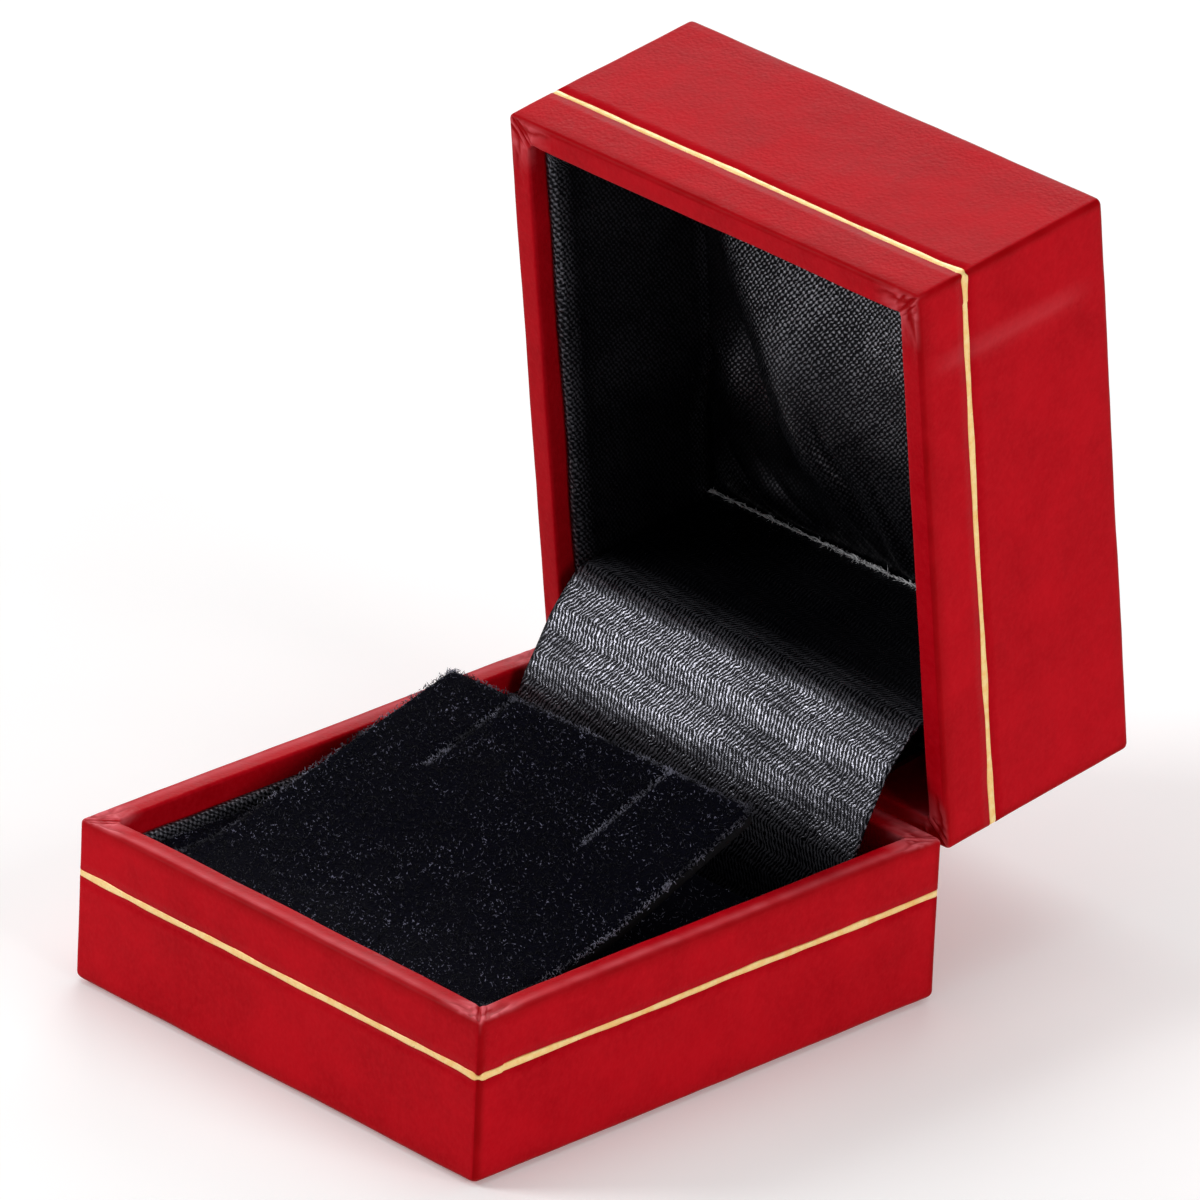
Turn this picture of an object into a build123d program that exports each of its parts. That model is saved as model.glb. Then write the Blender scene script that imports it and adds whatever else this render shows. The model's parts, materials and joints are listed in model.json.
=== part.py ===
"""Hinged ring box with a velvet ring insert, standing open.

The frame is in millimetres, +Z up. The origin is the centre of the base's underside,
the hinge is at +Y and the front at -Y. The lid's pieces are drawn as they lie when it is
shut, on planes that opened() carries round the hinge. Both halves are drawn from their
rims: a half's rim plane faces its closed end, so distances on it are depths below the rim.
"""

from build123d import *
import math
import os

os.makedirs("parts", exist_ok=True)

# The box, shut
BOX_WIDTH = 50.0
BOX_DEPTH = 54.8
BASE_HEIGHT = 15.6
LID_HEIGHT = 22.4
RIM_GAP = 0.2
OPEN_ANGLE = 82.0

# How far cutting shapes reach past what they cut, and a corner too small to see
CUT_MARGIN = 1.0
SQUARE = 0.01

# Walls: leatherette over rigid board, turned in over the rim
WRAP = 0.35
BOARD = 1.7
WALL = BOARD + 2 * WRAP
CORNER_RADIUS = 0.9
RIM_RADIUS = 0.8
INNER_RIM_RADIUS = 0.5
END_RADIUS = 0.6
INNER_CORNER_RADIUS = 0.6
TURN_IN = 8.0
TURN_UNDER = 6.0
BOTTOM_SHEET = 0.25
BOTTOM_INSET = 2.5

# Foil lines
FOIL_WIDTH = 0.7
FOIL = 0.1
GROOVE = 0.15
BASE_LINE_DEPTH = 5.2
LID_LINE_DEPTH = 5.5

# Wall linings: card with satin folded over its edge
GLUE_GAP = 0.05
LINER_CARD = 0.6
SATIN = 0.3
LINER_REAR = 23.9
LINER_CORNER = 0.55
BASE_LINER_DEPTH = 2.2
LID_LINER_DEPTH = 1.9

# Lid ceiling, from the board inwards
CEILING_CARD = 0.6
CEILING_FOAM = 1.5
FOAM_INSET = 0.5
CEILING_SATIN = 1.2
CEILING_WIDTH = 43.0
CEILING_FRONT = -23.9

# Ring insert: a folded card frame with a flap, and a tab cut in the flap's end
CARD = 0.8
VELVET = 0.5
INSERT_TOP = 12.3
INSERT_WIDTH = 43.0
INSERT_FRONT = -23.95
INSERT_REAR = 12.3
STRIP_WIDTH = 2.3
FOLD_Y = -21.2
FLAP_RISE = 14.0
FLAP_WIDTH = 37.8
FLAP_LENGTH = 33.0
FLAP_CORNER = 0.8
FOLD_GAP = 0.35
TAB_WIDTH = 19.8
TAB_CENTRE = -1.1
TAB_LENGTH = 11.0
SLIT = 0.3
ROOT_GAP = 0.2
FLOOR_PAD = 3.3

# Hinge, behind the cover
HINGE_INSET = 0.6
HINGE_DROP = 1.1
LEAF = 0.5
PIN_RADIUS = 0.45
BORE_RADIUS = 0.5
KNUCKLE_RADIUS = 0.9
KNUCKLES = 5
KNUCKLE_LENGTH = 5.8
KNUCKLE_GAP = 0.2
FINGER_OVERLAP = 0.1
BASE_PLATE_LOW = 5.5
LID_PLATE_TOP = 25.2
LID_WEB_RISE = 0.8
NOTCH_WIDTH = 30.4
NOTCH_REACH = 3 * WALL
BASE_NOTCH_DEPTH = 2.7
LID_NOTCH_DEPTH = 2.0
RIVET_X = 12.5
RIVET_RADIUS = 0.7
RIVET_HEAD_RADIUS = 1.3
RIVET_HEAD = 0.4
RIVET_CLEARANCE = 0.05
BASE_RIVET_DEPTH = 6.6
LID_RIVET_DEPTH = 5.2

# Bow springs, held by lugs on the leaves
SPRING_X = 8.9
SPRING_WIDTH = 3.0
SPRING = 0.35
SPRING_BULGE = 6.8
SPRING_GAP = 0.15
LUG_WIDTH = 4.0
LUG_REACH = 1.5
BASE_LUG_Z = 6.4
LID_LUG_Z = 23.6

# Hinge cover: a satin strip over a board in the lid
COVER = 0.4
COVER_WIDTH = 42.0
COVER_LID_Y = 17.2
COVER_BASE_Y = 20.4
COVER_ROLL_DEPTH = 0.6
COVER_ROLL_RADIUS = 7.0
COVER_FOOT_RADIUS = 8.0
COVER_KNEE_BACK = 0.5
COVER_KNEE_DEPTH = 1.3
HINGE_BOARD = 0.6
HINGE_BOARD_DEPTH = 4.0

HINGE_Y = BOX_DEPTH / 2 - HINGE_INSET
HINGE_Z = BASE_HEIGHT - HINGE_DROP
LID_Z = BASE_HEIGHT + RIM_GAP
BASE_FLOOR_Z = BOTTOM_SHEET + WRAP + BOARD
INNER_WIDTH = BOX_WIDTH - 2 * WALL
INNER_DEPTH = BOX_DEPTH - 2 * WALL
LINER_WIDTH = INNER_WIDTH - 2 * GLUE_GAP
LINER_FRONT = -INNER_DEPTH / 2 + GLUE_GAP
LEAF_Y = INNER_DEPTH / 2 - GLUE_GAP - LEAF
CEILING_DEPTH = LID_HEIGHT - WRAP - BOARD


def stay(plane):
    """A plane of the base, where it is."""
    return plane


def opened(plane):
    """A plane of the shut lid, carried round the hinge to the open lid."""
    hinge = Pos(0, HINGE_Y, HINGE_Z)
    return Plane(hinge * Rot(X=-OPEN_ANGLE) * hinge.inverse() * plane.location)


def opened_point(y, z):
    """A point of the shut lid's side view, carried round the hinge to the open lid."""
    turn = math.radians(OPEN_ANGLE)
    across, up = y - HINGE_Y, z - HINGE_Z
    return (
        HINGE_Y + across * math.cos(turn) + up * math.sin(turn),
        HINGE_Z - across * math.sin(turn) + up * math.cos(turn),
    )


# Rim planes, and the side of each that the hinge is on
BASE_RIM = Plane((0, 0, BASE_HEIGHT), x_dir=(1, 0, 0), z_dir=(0, 0, -1))
LID_RIM = opened(Plane.XY.offset(LID_Z))
BASE_BACK = -1
LID_BACK = 1

# The flap's own plane: across, up the slope, and out of its card
FLAP_PLANE = Plane(
    (0, FOLD_Y, INSERT_TOP),
    x_dir=(1, 0, 0),
    z_dir=(0, -math.sin(math.radians(FLAP_RISE)), math.cos(math.radians(FLAP_RISE))),
)


def keep(builder, label):
    """Names a finished piece and writes its STEP file."""
    builder.part.label = label
    export_step(builder.part, f"parts/{label}.step")


def u_shape(width, front, rear, thickness, back, corner=SQUARE):
    """A U in plan, closed at the front and open towards the hinge, in the current sketch."""
    middle = (front + rear) / 2
    with Locations((0, back * middle)):
        RectangleRounded(width, rear - front, corner)
    with Locations((0, back * (middle + thickness))):
        Rectangle(width - 2 * thickness, rear - front, mode=Mode.SUBTRACT)


def strip(front, rear, width):
    """A rectangle across the box, between two places from front to rear."""
    with Locations((0, (front + rear) / 2)):
        Rectangle(width, rear - front)


# ---- shells and wraps of both halves ----


def make_board(rim, back, length, notch_depth, carry, rivet_z):
    """One half's rigid tray, notched for the hinge and bored for its rivets."""
    with BuildPart() as board:
        with BuildSketch(rim.offset(WRAP)):
            RectangleRounded(BOX_WIDTH - 2 * WRAP, BOX_DEPTH - 2 * WRAP, CORNER_RADIUS - WRAP)
        extrude(amount=length - WRAP)
        inwards = Axis(rim.origin, rim.z_dir)
        fillet(board.faces().sort_by(inwards)[0].edges(), RIM_RADIUS - WRAP)
        with BuildSketch(rim):
            RectangleRounded(INNER_WIDTH + 2 * WRAP, INNER_DEPTH + 2 * WRAP, INNER_CORNER_RADIUS)
        extrude(amount=length - BOARD, mode=Mode.SUBTRACT)
        with BuildSketch(rim):
            with Locations((0, back * BOX_DEPTH / 2)):
                Rectangle(NOTCH_WIDTH, NOTCH_REACH)
        extrude(amount=notch_depth, mode=Mode.SUBTRACT)
        outside = carry(Plane.XZ.offset(WRAP - BOX_DEPTH / 2))
        with BuildSketch(outside):
            with Locations(*[(x, rivet_z) for x in (-RIVET_X, RIVET_X)]):
                Circle(RIVET_RADIUS + RIVET_CLEARANCE)
        extrude(amount=BOARD + WRAP, mode=Mode.SUBTRACT)
        with BuildSketch(outside):
            with Locations(*[(x, rivet_z) for x in (-RIVET_X, RIVET_X)]):
                Circle(RIVET_HEAD_RADIUS + RIVET_CLEARANCE)
        extrude(amount=RIVET_HEAD + RIVET_CLEARANCE, mode=Mode.SUBTRACT)
    return board


def make_wrap(rim, back, height, window, line_depth, notch_depth, board, carry, rivet_z):
    """One half's leatherette: outer skin, rim, turn-in, and its closed end or turn-under."""
    with BuildPart() as wrap:
        with BuildSketch(rim):
            RectangleRounded(BOX_WIDTH, BOX_DEPTH, CORNER_RADIUS)
        extrude(amount=height)
        inwards = Axis(rim.origin, rim.z_dir)
        fillet(wrap.faces().sort_by(inwards)[-1].edges(), END_RADIUS)
        fillet(wrap.faces().sort_by(inwards)[0].edges(), RIM_RADIUS)
        with BuildSketch(rim):
            RectangleRounded(INNER_WIDTH, INNER_DEPTH, INNER_CORNER_RADIUS)
        extrude(amount=TURN_IN, mode=Mode.SUBTRACT)
        rim_face = wrap.faces().sort_by(inwards)[0]
        fillet(rim_face.inner_wires()[0].edges(), INNER_RIM_RADIUS)
        with BuildSketch(rim.offset(TURN_IN)):
            RectangleRounded(BOX_WIDTH - 2 * WRAP, BOX_DEPTH - 2 * WRAP, CORNER_RADIUS - WRAP)
        extrude(amount=height - WRAP - TURN_IN, mode=Mode.SUBTRACT)
        if window:
            with BuildSketch(rim.offset(height - 2 * WRAP)):
                Rectangle(BOX_WIDTH - 2 * TURN_UNDER, BOX_DEPTH - 2 * TURN_UNDER)
            extrude(amount=2 * WRAP + CUT_MARGIN, mode=Mode.SUBTRACT)
        with BuildSketch(rim.offset(line_depth - FOIL_WIDTH / 2)):
            Rectangle(BOX_WIDTH + 2 * CUT_MARGIN, BOX_DEPTH + 2 * CUT_MARGIN)
            RectangleRounded(
                BOX_WIDTH - 2 * GROOVE,
                BOX_DEPTH - 2 * GROOVE,
                CORNER_RADIUS - GROOVE,
                mode=Mode.SUBTRACT,
            )
        extrude(amount=FOIL_WIDTH, mode=Mode.SUBTRACT)
        with BuildSketch(rim):
            with Locations((0, back * BOX_DEPTH / 2)):
                Rectangle(NOTCH_WIDTH, NOTCH_REACH)
        extrude(amount=notch_depth, mode=Mode.SUBTRACT)
        add(board.part, mode=Mode.SUBTRACT)
        outside = carry(Plane.XZ.offset(WRAP - BOX_DEPTH / 2))
        for radius, reach in (
            (RIVET_HEAD_RADIUS + RIVET_CLEARANCE, BOARD),
            (RIVET_RADIUS + RIVET_CLEARANCE, BOARD + 2 * WRAP),
        ):
            with BuildSketch(outside):
                with Locations(*[(x, rivet_z) for x in (-RIVET_X, RIVET_X)]):
                    Circle(radius)
            extrude(amount=reach, mode=Mode.SUBTRACT)
    return wrap


def make_gold_line(rim, line_depth):
    """Foil line in the groove round one half."""
    with BuildPart() as gold_line:
        with BuildSketch(rim.offset(line_depth - FOIL_WIDTH / 2)):
            RectangleRounded(
                BOX_WIDTH - 2 * (GROOVE - FOIL),
                BOX_DEPTH - 2 * (GROOVE - FOIL),
                CORNER_RADIUS - GROOVE + FOIL,
            )
            RectangleRounded(
                BOX_WIDTH - 2 * GROOVE,
                BOX_DEPTH - 2 * GROOVE,
                CORNER_RADIUS - GROOVE,
                mode=Mode.SUBTRACT,
            )
        extrude(amount=FOIL_WIDTH)
    return gold_line


def make_bottom_sheet():
    """Sheet under the base, over the turned-under wrap."""
    with BuildPart() as bottom_sheet:
        with BuildSketch():
            RectangleRounded(
                BOX_WIDTH - 2 * BOTTOM_INSET, BOX_DEPTH - 2 * BOTTOM_INSET, CORNER_RADIUS
            )
        extrude(amount=BOTTOM_SHEET)
    return bottom_sheet


# ---- wall linings ----


def make_liner_card(rim, back, start, end):
    """Card along the left, front and right walls of one half."""
    with BuildPart() as liner_card:
        with BuildSketch(rim.offset(start + SATIN)):
            u_shape(LINER_WIDTH, LINER_FRONT, LINER_REAR, LINER_CARD, back, LINER_CORNER)
        extrude(amount=end - start - SATIN)
    return liner_card


def make_liner_satin(rim, back, start, end):
    """Satin on the card's inner face, folded over the card's edge."""
    with BuildPart() as liner_satin:
        with BuildSketch(rim.offset(start)):
            thickness = LINER_CARD + SATIN
            u_shape(LINER_WIDTH, LINER_FRONT, LINER_REAR, thickness, back, LINER_CORNER)
        extrude(amount=SATIN)
        with BuildSketch(rim.offset(start + SATIN)):
            u_shape(
                LINER_WIDTH - 2 * LINER_CARD, LINER_FRONT + LINER_CARD, LINER_REAR, SATIN, back
            )
        extrude(amount=end - start - SATIN)
    return liner_satin


# ---- ring insert ----


def make_insert_card():
    """Card frame: side strips and front ledge, on legs folded down to the floor."""
    with BuildPart() as insert_card:
        with BuildSketch(Plane.XY.offset(INSERT_TOP - CARD)):
            strip(INSERT_FRONT, INSERT_REAR, INSERT_WIDTH)
            with Locations((0, (FOLD_Y - ROOT_GAP + INSERT_REAR + CUT_MARGIN) / 2)):
                Rectangle(
                    INSERT_WIDTH - 2 * STRIP_WIDTH,
                    INSERT_REAR + CUT_MARGIN - FOLD_Y + ROOT_GAP,
                    mode=Mode.SUBTRACT,
                )
        extrude(amount=CARD)
        with BuildSketch(Plane.XY.offset(BASE_FLOOR_Z)):
            u_shape(INSERT_WIDTH, INSERT_FRONT, INSERT_REAR, CARD, 1)
        extrude(amount=INSERT_TOP - CARD - BASE_FLOOR_Z)
    return insert_card


def make_insert_velvet():
    """Velvet on the frame's strips and front ledge."""
    with BuildPart() as insert_velvet:
        with BuildSketch(Plane.XY.offset(INSERT_TOP)):
            strip(INSERT_FRONT, INSERT_REAR, INSERT_WIDTH)
            with Locations((0, (FOLD_Y - ROOT_GAP + INSERT_REAR + CUT_MARGIN) / 2)):
                Rectangle(
                    INSERT_WIDTH - 2 * STRIP_WIDTH,
                    INSERT_REAR + CUT_MARGIN - FOLD_Y + ROOT_GAP,
                    mode=Mode.SUBTRACT,
                )
        extrude(amount=VELVET)
    return insert_velvet


def make_flap_layer(start, thickness):
    """One layer of the flap, with the tab's place cut out of its free end."""
    root = FLAP_LENGTH - TAB_LENGTH
    with BuildPart() as flap_layer:
        with BuildSketch(FLAP_PLANE.offset(start)) as outline:
            strip(FOLD_GAP, FLAP_LENGTH, FLAP_WIDTH)
            fillet(outline.vertices().group_by(Axis.Y)[-1], FLAP_CORNER)
            with Locations((TAB_CENTRE, (root - ROOT_GAP + FLAP_LENGTH + CUT_MARGIN) / 2)):
                Rectangle(
                    TAB_WIDTH + SLIT, TAB_LENGTH + ROOT_GAP + CUT_MARGIN, mode=Mode.SUBTRACT
                )
        extrude(amount=thickness)
    return flap_layer


def make_tab_layer(start, thickness):
    """One layer of the tab between the two slits, which holds the ring."""
    root = FLAP_LENGTH - TAB_LENGTH
    with BuildPart() as tab_layer:
        with BuildSketch(FLAP_PLANE.offset(start)):
            with Locations((TAB_CENTRE, (root + ROOT_GAP + FLAP_LENGTH) / 2)):
                Rectangle(TAB_WIDTH - SLIT, TAB_LENGTH - ROOT_GAP)
        extrude(amount=thickness)
    return tab_layer


def make_floor_layer(start, thickness):
    """One layer of the pad on the base's floor, between the insert's legs."""
    front = INSERT_FRONT + CARD + GLUE_GAP
    width = INSERT_WIDTH - 2 * CARD - 2 * GLUE_GAP
    with BuildPart() as floor_layer:
        with BuildSketch(Plane.XY.offset(BASE_FLOOR_Z + start)):
            strip(front, COVER_BASE_Y - COVER, width)
        extrude(amount=thickness)
    return floor_layer


# ---- lid ceiling ----


def make_ceiling_layer(depth, thickness, inset=0.0):
    """One layer of the lid's ceiling pad, as deep below the rim as depth."""
    rear = COVER_LID_Y - COVER
    with BuildPart() as ceiling_layer:
        with BuildSketch(LID_RIM.offset(depth)):
            strip(CEILING_FRONT + inset, rear - inset, CEILING_WIDTH - 2 * inset)
        extrude(amount=thickness)
    return ceiling_layer


# ---- hinge ----


def knuckle_start(index):
    """Where a knuckle begins along the hinge."""
    pitch = KNUCKLE_LENGTH + KNUCKLE_GAP
    return (index - KNUCKLES / 2) * pitch + KNUCKLE_GAP / 2


def make_leaf(carry, turns, plate_z, fingers, lug_z, rivet_z):
    """Pressed steel leaf: plate, fingers rolled round the pin, spring lugs, rivet holes."""
    length = knuckle_start(KNUCKLES) - knuckle_start(0) - KNUCKLE_GAP
    with BuildPart() as leaf:
        with BuildSketch(carry(Plane.YZ.offset(-length / 2))):
            with Locations((LEAF_Y + LEAF / 2, sum(plate_z) / 2)):
                Rectangle(LEAF, plate_z[1] - plate_z[0])
        extrude(amount=length)
        for index in turns:
            with BuildSketch(carry(Plane.YZ.offset(knuckle_start(index)))):
                for low_y, high_y, low_z, high_z in fingers:
                    with Locations(((low_y + high_y) / 2, (low_z + high_z) / 2)):
                        Rectangle(high_y - low_y, high_z - low_z)
                with Locations((HINGE_Y, HINGE_Z)):
                    Circle(KNUCKLE_RADIUS)
                    Circle(BORE_RADIUS, mode=Mode.SUBTRACT)
            extrude(amount=KNUCKLE_LENGTH)
        for side in (-1, 1):
            with BuildSketch(carry(Plane.YZ.offset(side * SPRING_X - LUG_WIDTH / 2))):
                with Locations((LEAF_Y - LUG_REACH / 2, lug_z + LEAF / 2)):
                    Rectangle(LUG_REACH, LEAF)
            extrude(amount=LUG_WIDTH)
        with BuildSketch(carry(Plane.XZ.offset(-LEAF_Y))):
            with Locations(*[(x, rivet_z) for x in (-RIVET_X, RIVET_X)]):
                Circle(RIVET_RADIUS + RIVET_CLEARANCE)
        extrude(amount=-LEAF, mode=Mode.SUBTRACT)
    return leaf


def make_hinge_pin():
    """Wire pin through all the knuckles."""
    length = NOTCH_WIDTH - 2 * KNUCKLE_GAP
    with BuildPart() as hinge_pin:
        with BuildSketch(Plane.YZ.offset(-length / 2)):
            with Locations((HINGE_Y, HINGE_Z)):
                Circle(PIN_RADIUS)
        extrude(amount=length)
    return hinge_pin


def make_rivets(carry, rivet_z):
    """The two rivets that hold one leaf to its board, a head on each side."""
    shank = BOX_DEPTH / 2 - WRAP - RIVET_HEAD - LEAF_Y
    spots = [(x, rivet_z) for x in (-RIVET_X, RIVET_X)]
    with BuildPart() as rivets:
        with BuildSketch(carry(Plane.XZ.offset(-LEAF_Y))):
            with Locations(*spots):
                Circle(RIVET_HEAD_RADIUS)
        extrude(amount=RIVET_HEAD)
        with BuildSketch(carry(Plane.XZ.offset(-LEAF_Y))):
            with Locations(*spots):
                Circle(RIVET_RADIUS)
        extrude(amount=-shank)
        with BuildSketch(carry(Plane.XZ.offset(-LEAF_Y - shank))):
            with Locations(*spots):
                Circle(RIVET_HEAD_RADIUS)
        extrude(amount=-RIVET_HEAD)
    return rivets


def make_bow_spring(side):
    """Flat steel bow from a lug on the base's leaf to a lug on the lid's leaf."""
    seat_y = LEAF_Y - LUG_REACH / 2
    foot = (seat_y, BASE_LUG_Z + LEAF + SPRING_GAP)
    head = opened_point(seat_y, LID_LUG_Z - SPRING_GAP)
    span = math.dist(foot, head)
    crown = (
        (foot[0] + head[0]) / 2 - SPRING_BULGE * (head[1] - foot[1]) / span,
        (foot[1] + head[1]) / 2 + SPRING_BULGE * (head[0] - foot[0]) / span,
    )
    with BuildPart() as bow_spring:
        with BuildSketch(Plane.YZ.offset(side * SPRING_X - SPRING_WIDTH / 2)):
            with BuildLine():
                ThreePointArc(foot, crown, head)
            trace(line_width=SPRING)
        extrude(amount=SPRING_WIDTH)
    return bow_spring


# ---- hinge cover ----


def make_hinge_board():
    """Card in the lid behind the cover's flat stretch, hiding the hinge."""
    front = COVER_LID_Y + COVER / 2 + GLUE_GAP
    with BuildPart() as hinge_board:
        with BuildSketch(LID_RIM.offset(HINGE_BOARD_DEPTH)):
            strip(front, front + HINGE_BOARD, CEILING_WIDTH)
        extrude(amount=CEILING_DEPTH - GLUE_GAP - HINGE_BOARD_DEPTH)
    return hinge_board


def make_hinge_cover():
    """Satin strip: flat down the lid's hinge side, over a roll, and down into the base."""
    top = LID_Z + CEILING_DEPTH - GLUE_GAP
    with BuildPart() as hinge_cover:
        with BuildSketch(Plane.YZ.offset(-COVER_WIDTH / 2)):
            with BuildLine():
                FilletPolyline(
                    opened_point(COVER_LID_Y, top),
                    opened_point(COVER_LID_Y, LID_Z + COVER_ROLL_DEPTH),
                    (COVER_BASE_Y + COVER_KNEE_BACK, BASE_HEIGHT - COVER_KNEE_DEPTH),
                    (COVER_BASE_Y, BASE_FLOOR_Z + GLUE_GAP),
                    radius=[COVER_ROLL_RADIUS, COVER_FOOT_RADIUS],
                )
            trace(line_width=COVER)
        extrude(amount=COVER_WIDTH)
    return hinge_cover


# ---- the box ----

base_board_length = BASE_HEIGHT - BOTTOM_SHEET - WRAP
base_rivet_z = BASE_HEIGHT - BASE_RIVET_DEPTH
base_shell = make_board(
    BASE_RIM, BASE_BACK, base_board_length, BASE_NOTCH_DEPTH, stay, base_rivet_z
)
base_wrap = make_wrap(
    BASE_RIM,
    BASE_BACK,
    BASE_HEIGHT - BOTTOM_SHEET,
    True,
    BASE_LINE_DEPTH,
    BASE_NOTCH_DEPTH,
    base_shell,
    stay,
    base_rivet_z,
)
lid_rivet_z = LID_Z + LID_RIVET_DEPTH
lid_shell = make_board(
    LID_RIM, LID_BACK, LID_HEIGHT - WRAP, LID_NOTCH_DEPTH, opened, lid_rivet_z
)
lid_wrap = make_wrap(
    LID_RIM,
    LID_BACK,
    LID_HEIGHT,
    False,
    LID_LINE_DEPTH,
    LID_NOTCH_DEPTH,
    lid_shell,
    opened,
    lid_rivet_z,
)
keep(base_shell, "base_shell")
keep(base_wrap, "base_wrap")
keep(lid_shell, "lid_shell")
keep(lid_wrap, "lid_wrap")
keep(make_gold_line(BASE_RIM, BASE_LINE_DEPTH), "base_gold_line")
keep(make_gold_line(LID_RIM, LID_LINE_DEPTH), "lid_gold_line")
keep(make_bottom_sheet(), "base_bottom_sheet")

base_liner_end = BASE_HEIGHT - BASE_FLOOR_Z
keep(make_liner_card(BASE_RIM, BASE_BACK, BASE_LINER_DEPTH, base_liner_end), "base_liner_card")
keep(make_liner_satin(BASE_RIM, BASE_BACK, BASE_LINER_DEPTH, base_liner_end), "base_liner_satin")
keep(make_liner_card(LID_RIM, LID_BACK, LID_LINER_DEPTH, CEILING_DEPTH), "lid_liner_card")
keep(make_liner_satin(LID_RIM, LID_BACK, LID_LINER_DEPTH, CEILING_DEPTH), "lid_liner_satin")

keep(make_floor_layer(0, FLOOR_PAD), "base_floor_pad")
keep(make_floor_layer(FLOOR_PAD, VELVET), "base_floor_velvet")
keep(make_insert_card(), "insert_card")
keep(make_insert_velvet(), "insert_velvet")
keep(make_flap_layer(-CARD, CARD), "ring_flap_card")
keep(make_flap_layer(0, VELVET), "ring_flap_velvet")
keep(make_tab_layer(-CARD, CARD), "clip_tab_card")
keep(make_tab_layer(0, VELVET), "clip_tab_velvet")

foam_depth = CEILING_DEPTH - CEILING_CARD - CEILING_FOAM
keep(make_ceiling_layer(CEILING_DEPTH - CEILING_CARD, CEILING_CARD), "lid_ceiling_card")
keep(make_ceiling_layer(foam_depth, CEILING_FOAM, inset=FOAM_INSET), "lid_ceiling_foam")
keep(make_ceiling_layer(foam_depth - CEILING_SATIN, CEILING_SATIN), "lid_ceiling_satin")

plate_edge = HINGE_Z - KNUCKLE_RADIUS + FINGER_OVERLAP
base_finger = (LEAF_Y, HINGE_Y, plate_edge - LEAF, plate_edge)
base_leaf = make_leaf(
    stay, (0, 2, 4), (BASE_PLATE_LOW, plate_edge), [base_finger], BASE_LUG_Z, base_rivet_z
)
web_y = HINGE_Y - LEAF / 2
web_z = LID_Z + LID_WEB_RISE
lid_fingers = [
    (LEAF_Y, web_y + LEAF, web_z, web_z + LEAF),
    (web_y, web_y + LEAF, HINGE_Z + BORE_RADIUS + FINGER_OVERLAP, web_z + LEAF),
]
lid_leaf = make_leaf(
    opened, (1, 3), (web_z, LID_PLATE_TOP), lid_fingers, LID_LUG_Z, lid_rivet_z
)
keep(base_leaf, "base_hinge_leaf")
keep(lid_leaf, "lid_hinge_leaf")
keep(make_hinge_pin(), "hinge_pin")
keep(make_rivets(stay, base_rivet_z), "base_hinge_rivets")
keep(make_rivets(opened, lid_rivet_z), "lid_hinge_rivets")
keep(make_bow_spring(-1), "bow_spring_left")
keep(make_bow_spring(1), "bow_spring_right")
keep(make_hinge_board(), "lid_hinge_board")
keep(make_hinge_cover(), "hinge_cover")
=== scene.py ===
"""Looks of the open ring box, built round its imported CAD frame.

Lengths are in millimetres until MM turns them into Blender's metres. Each half of the box is
worked out in its own coordinates: across, along towards the hinge, and deep below its rim.
"""

import json
from math import acos, atan2, cos, hypot, pi, radians, sin, tan

import bpy
import numpy as np
from mathutils import Matrix, Vector, noise


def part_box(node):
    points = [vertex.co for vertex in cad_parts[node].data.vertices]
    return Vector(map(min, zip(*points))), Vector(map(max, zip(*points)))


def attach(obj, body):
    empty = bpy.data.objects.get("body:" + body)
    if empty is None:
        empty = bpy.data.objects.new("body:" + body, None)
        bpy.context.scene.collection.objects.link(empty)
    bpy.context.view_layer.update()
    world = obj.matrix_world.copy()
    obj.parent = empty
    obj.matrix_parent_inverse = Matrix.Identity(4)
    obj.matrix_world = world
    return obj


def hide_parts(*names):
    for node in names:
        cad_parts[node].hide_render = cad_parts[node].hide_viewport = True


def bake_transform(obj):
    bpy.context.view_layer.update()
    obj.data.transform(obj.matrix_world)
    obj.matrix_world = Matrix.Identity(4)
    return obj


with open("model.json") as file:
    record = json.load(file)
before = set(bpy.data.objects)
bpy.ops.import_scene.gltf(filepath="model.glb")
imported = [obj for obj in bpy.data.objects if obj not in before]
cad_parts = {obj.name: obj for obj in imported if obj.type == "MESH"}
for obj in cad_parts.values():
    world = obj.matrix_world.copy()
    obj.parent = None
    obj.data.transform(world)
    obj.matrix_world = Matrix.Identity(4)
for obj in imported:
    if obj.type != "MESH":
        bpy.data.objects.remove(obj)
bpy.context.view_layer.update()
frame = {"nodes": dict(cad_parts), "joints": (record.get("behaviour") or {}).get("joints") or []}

MM = 0.001
JOINTS = {joint["name"]: joint for joint in frame["joints"]}
OPEN_ANGLE = radians(JOINTS["lid_hinge"]["range_deg"][1])

# Leatherette: thickness, width of the rim, reach inside and underneath, and roundings
SKIN = 0.3
WALL = 2.4
TURN_IN = 8.0
TURN_UNDER = 6.0
RIM_RADIUS = 0.45
INNER_RIM_RADIUS = 0.35
END_RADIUS = 0.65
CORNER_RADIUS = 0.5

# The rim's cut for the hinge: half its width, and its depth in each half
NOTCH = 15.2
NOTCH_DEPTH = {"base": 2.7, "lid": 2.0}

# Pleats at the rim's corners: deepest sink, how far down they reach, and each one's
# (distance from the mitre, depth, width)
PLEAT = 0.22
PLEAT_REACH = 2.2
PLEATS = ((0.0, 0.24, 0.16), (0.55, 0.18, 0.14), (-0.5, 0.2, 0.15), (1.0, 0.12, 0.2), (-1.1, 0.12, 0.2))

# Gold lines: their groove's depth and lip, and the foil in it
GROOVE = 0.15
GROOVE_LIP = 0.06
FOIL_INSET = 0.03
FOIL_WIDTH = 0.62


# ---- shared helpers ----


def smooth(t):
    """Smoothstep of an array from 0 to 1."""
    t = np.clip(t, 0, 1)
    return t * t * (3 - 2 * t)


def bump(t, centre, width):
    """A bell of height 1 over an array."""
    return np.exp(-(((t - centre) / width) ** 2))


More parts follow.
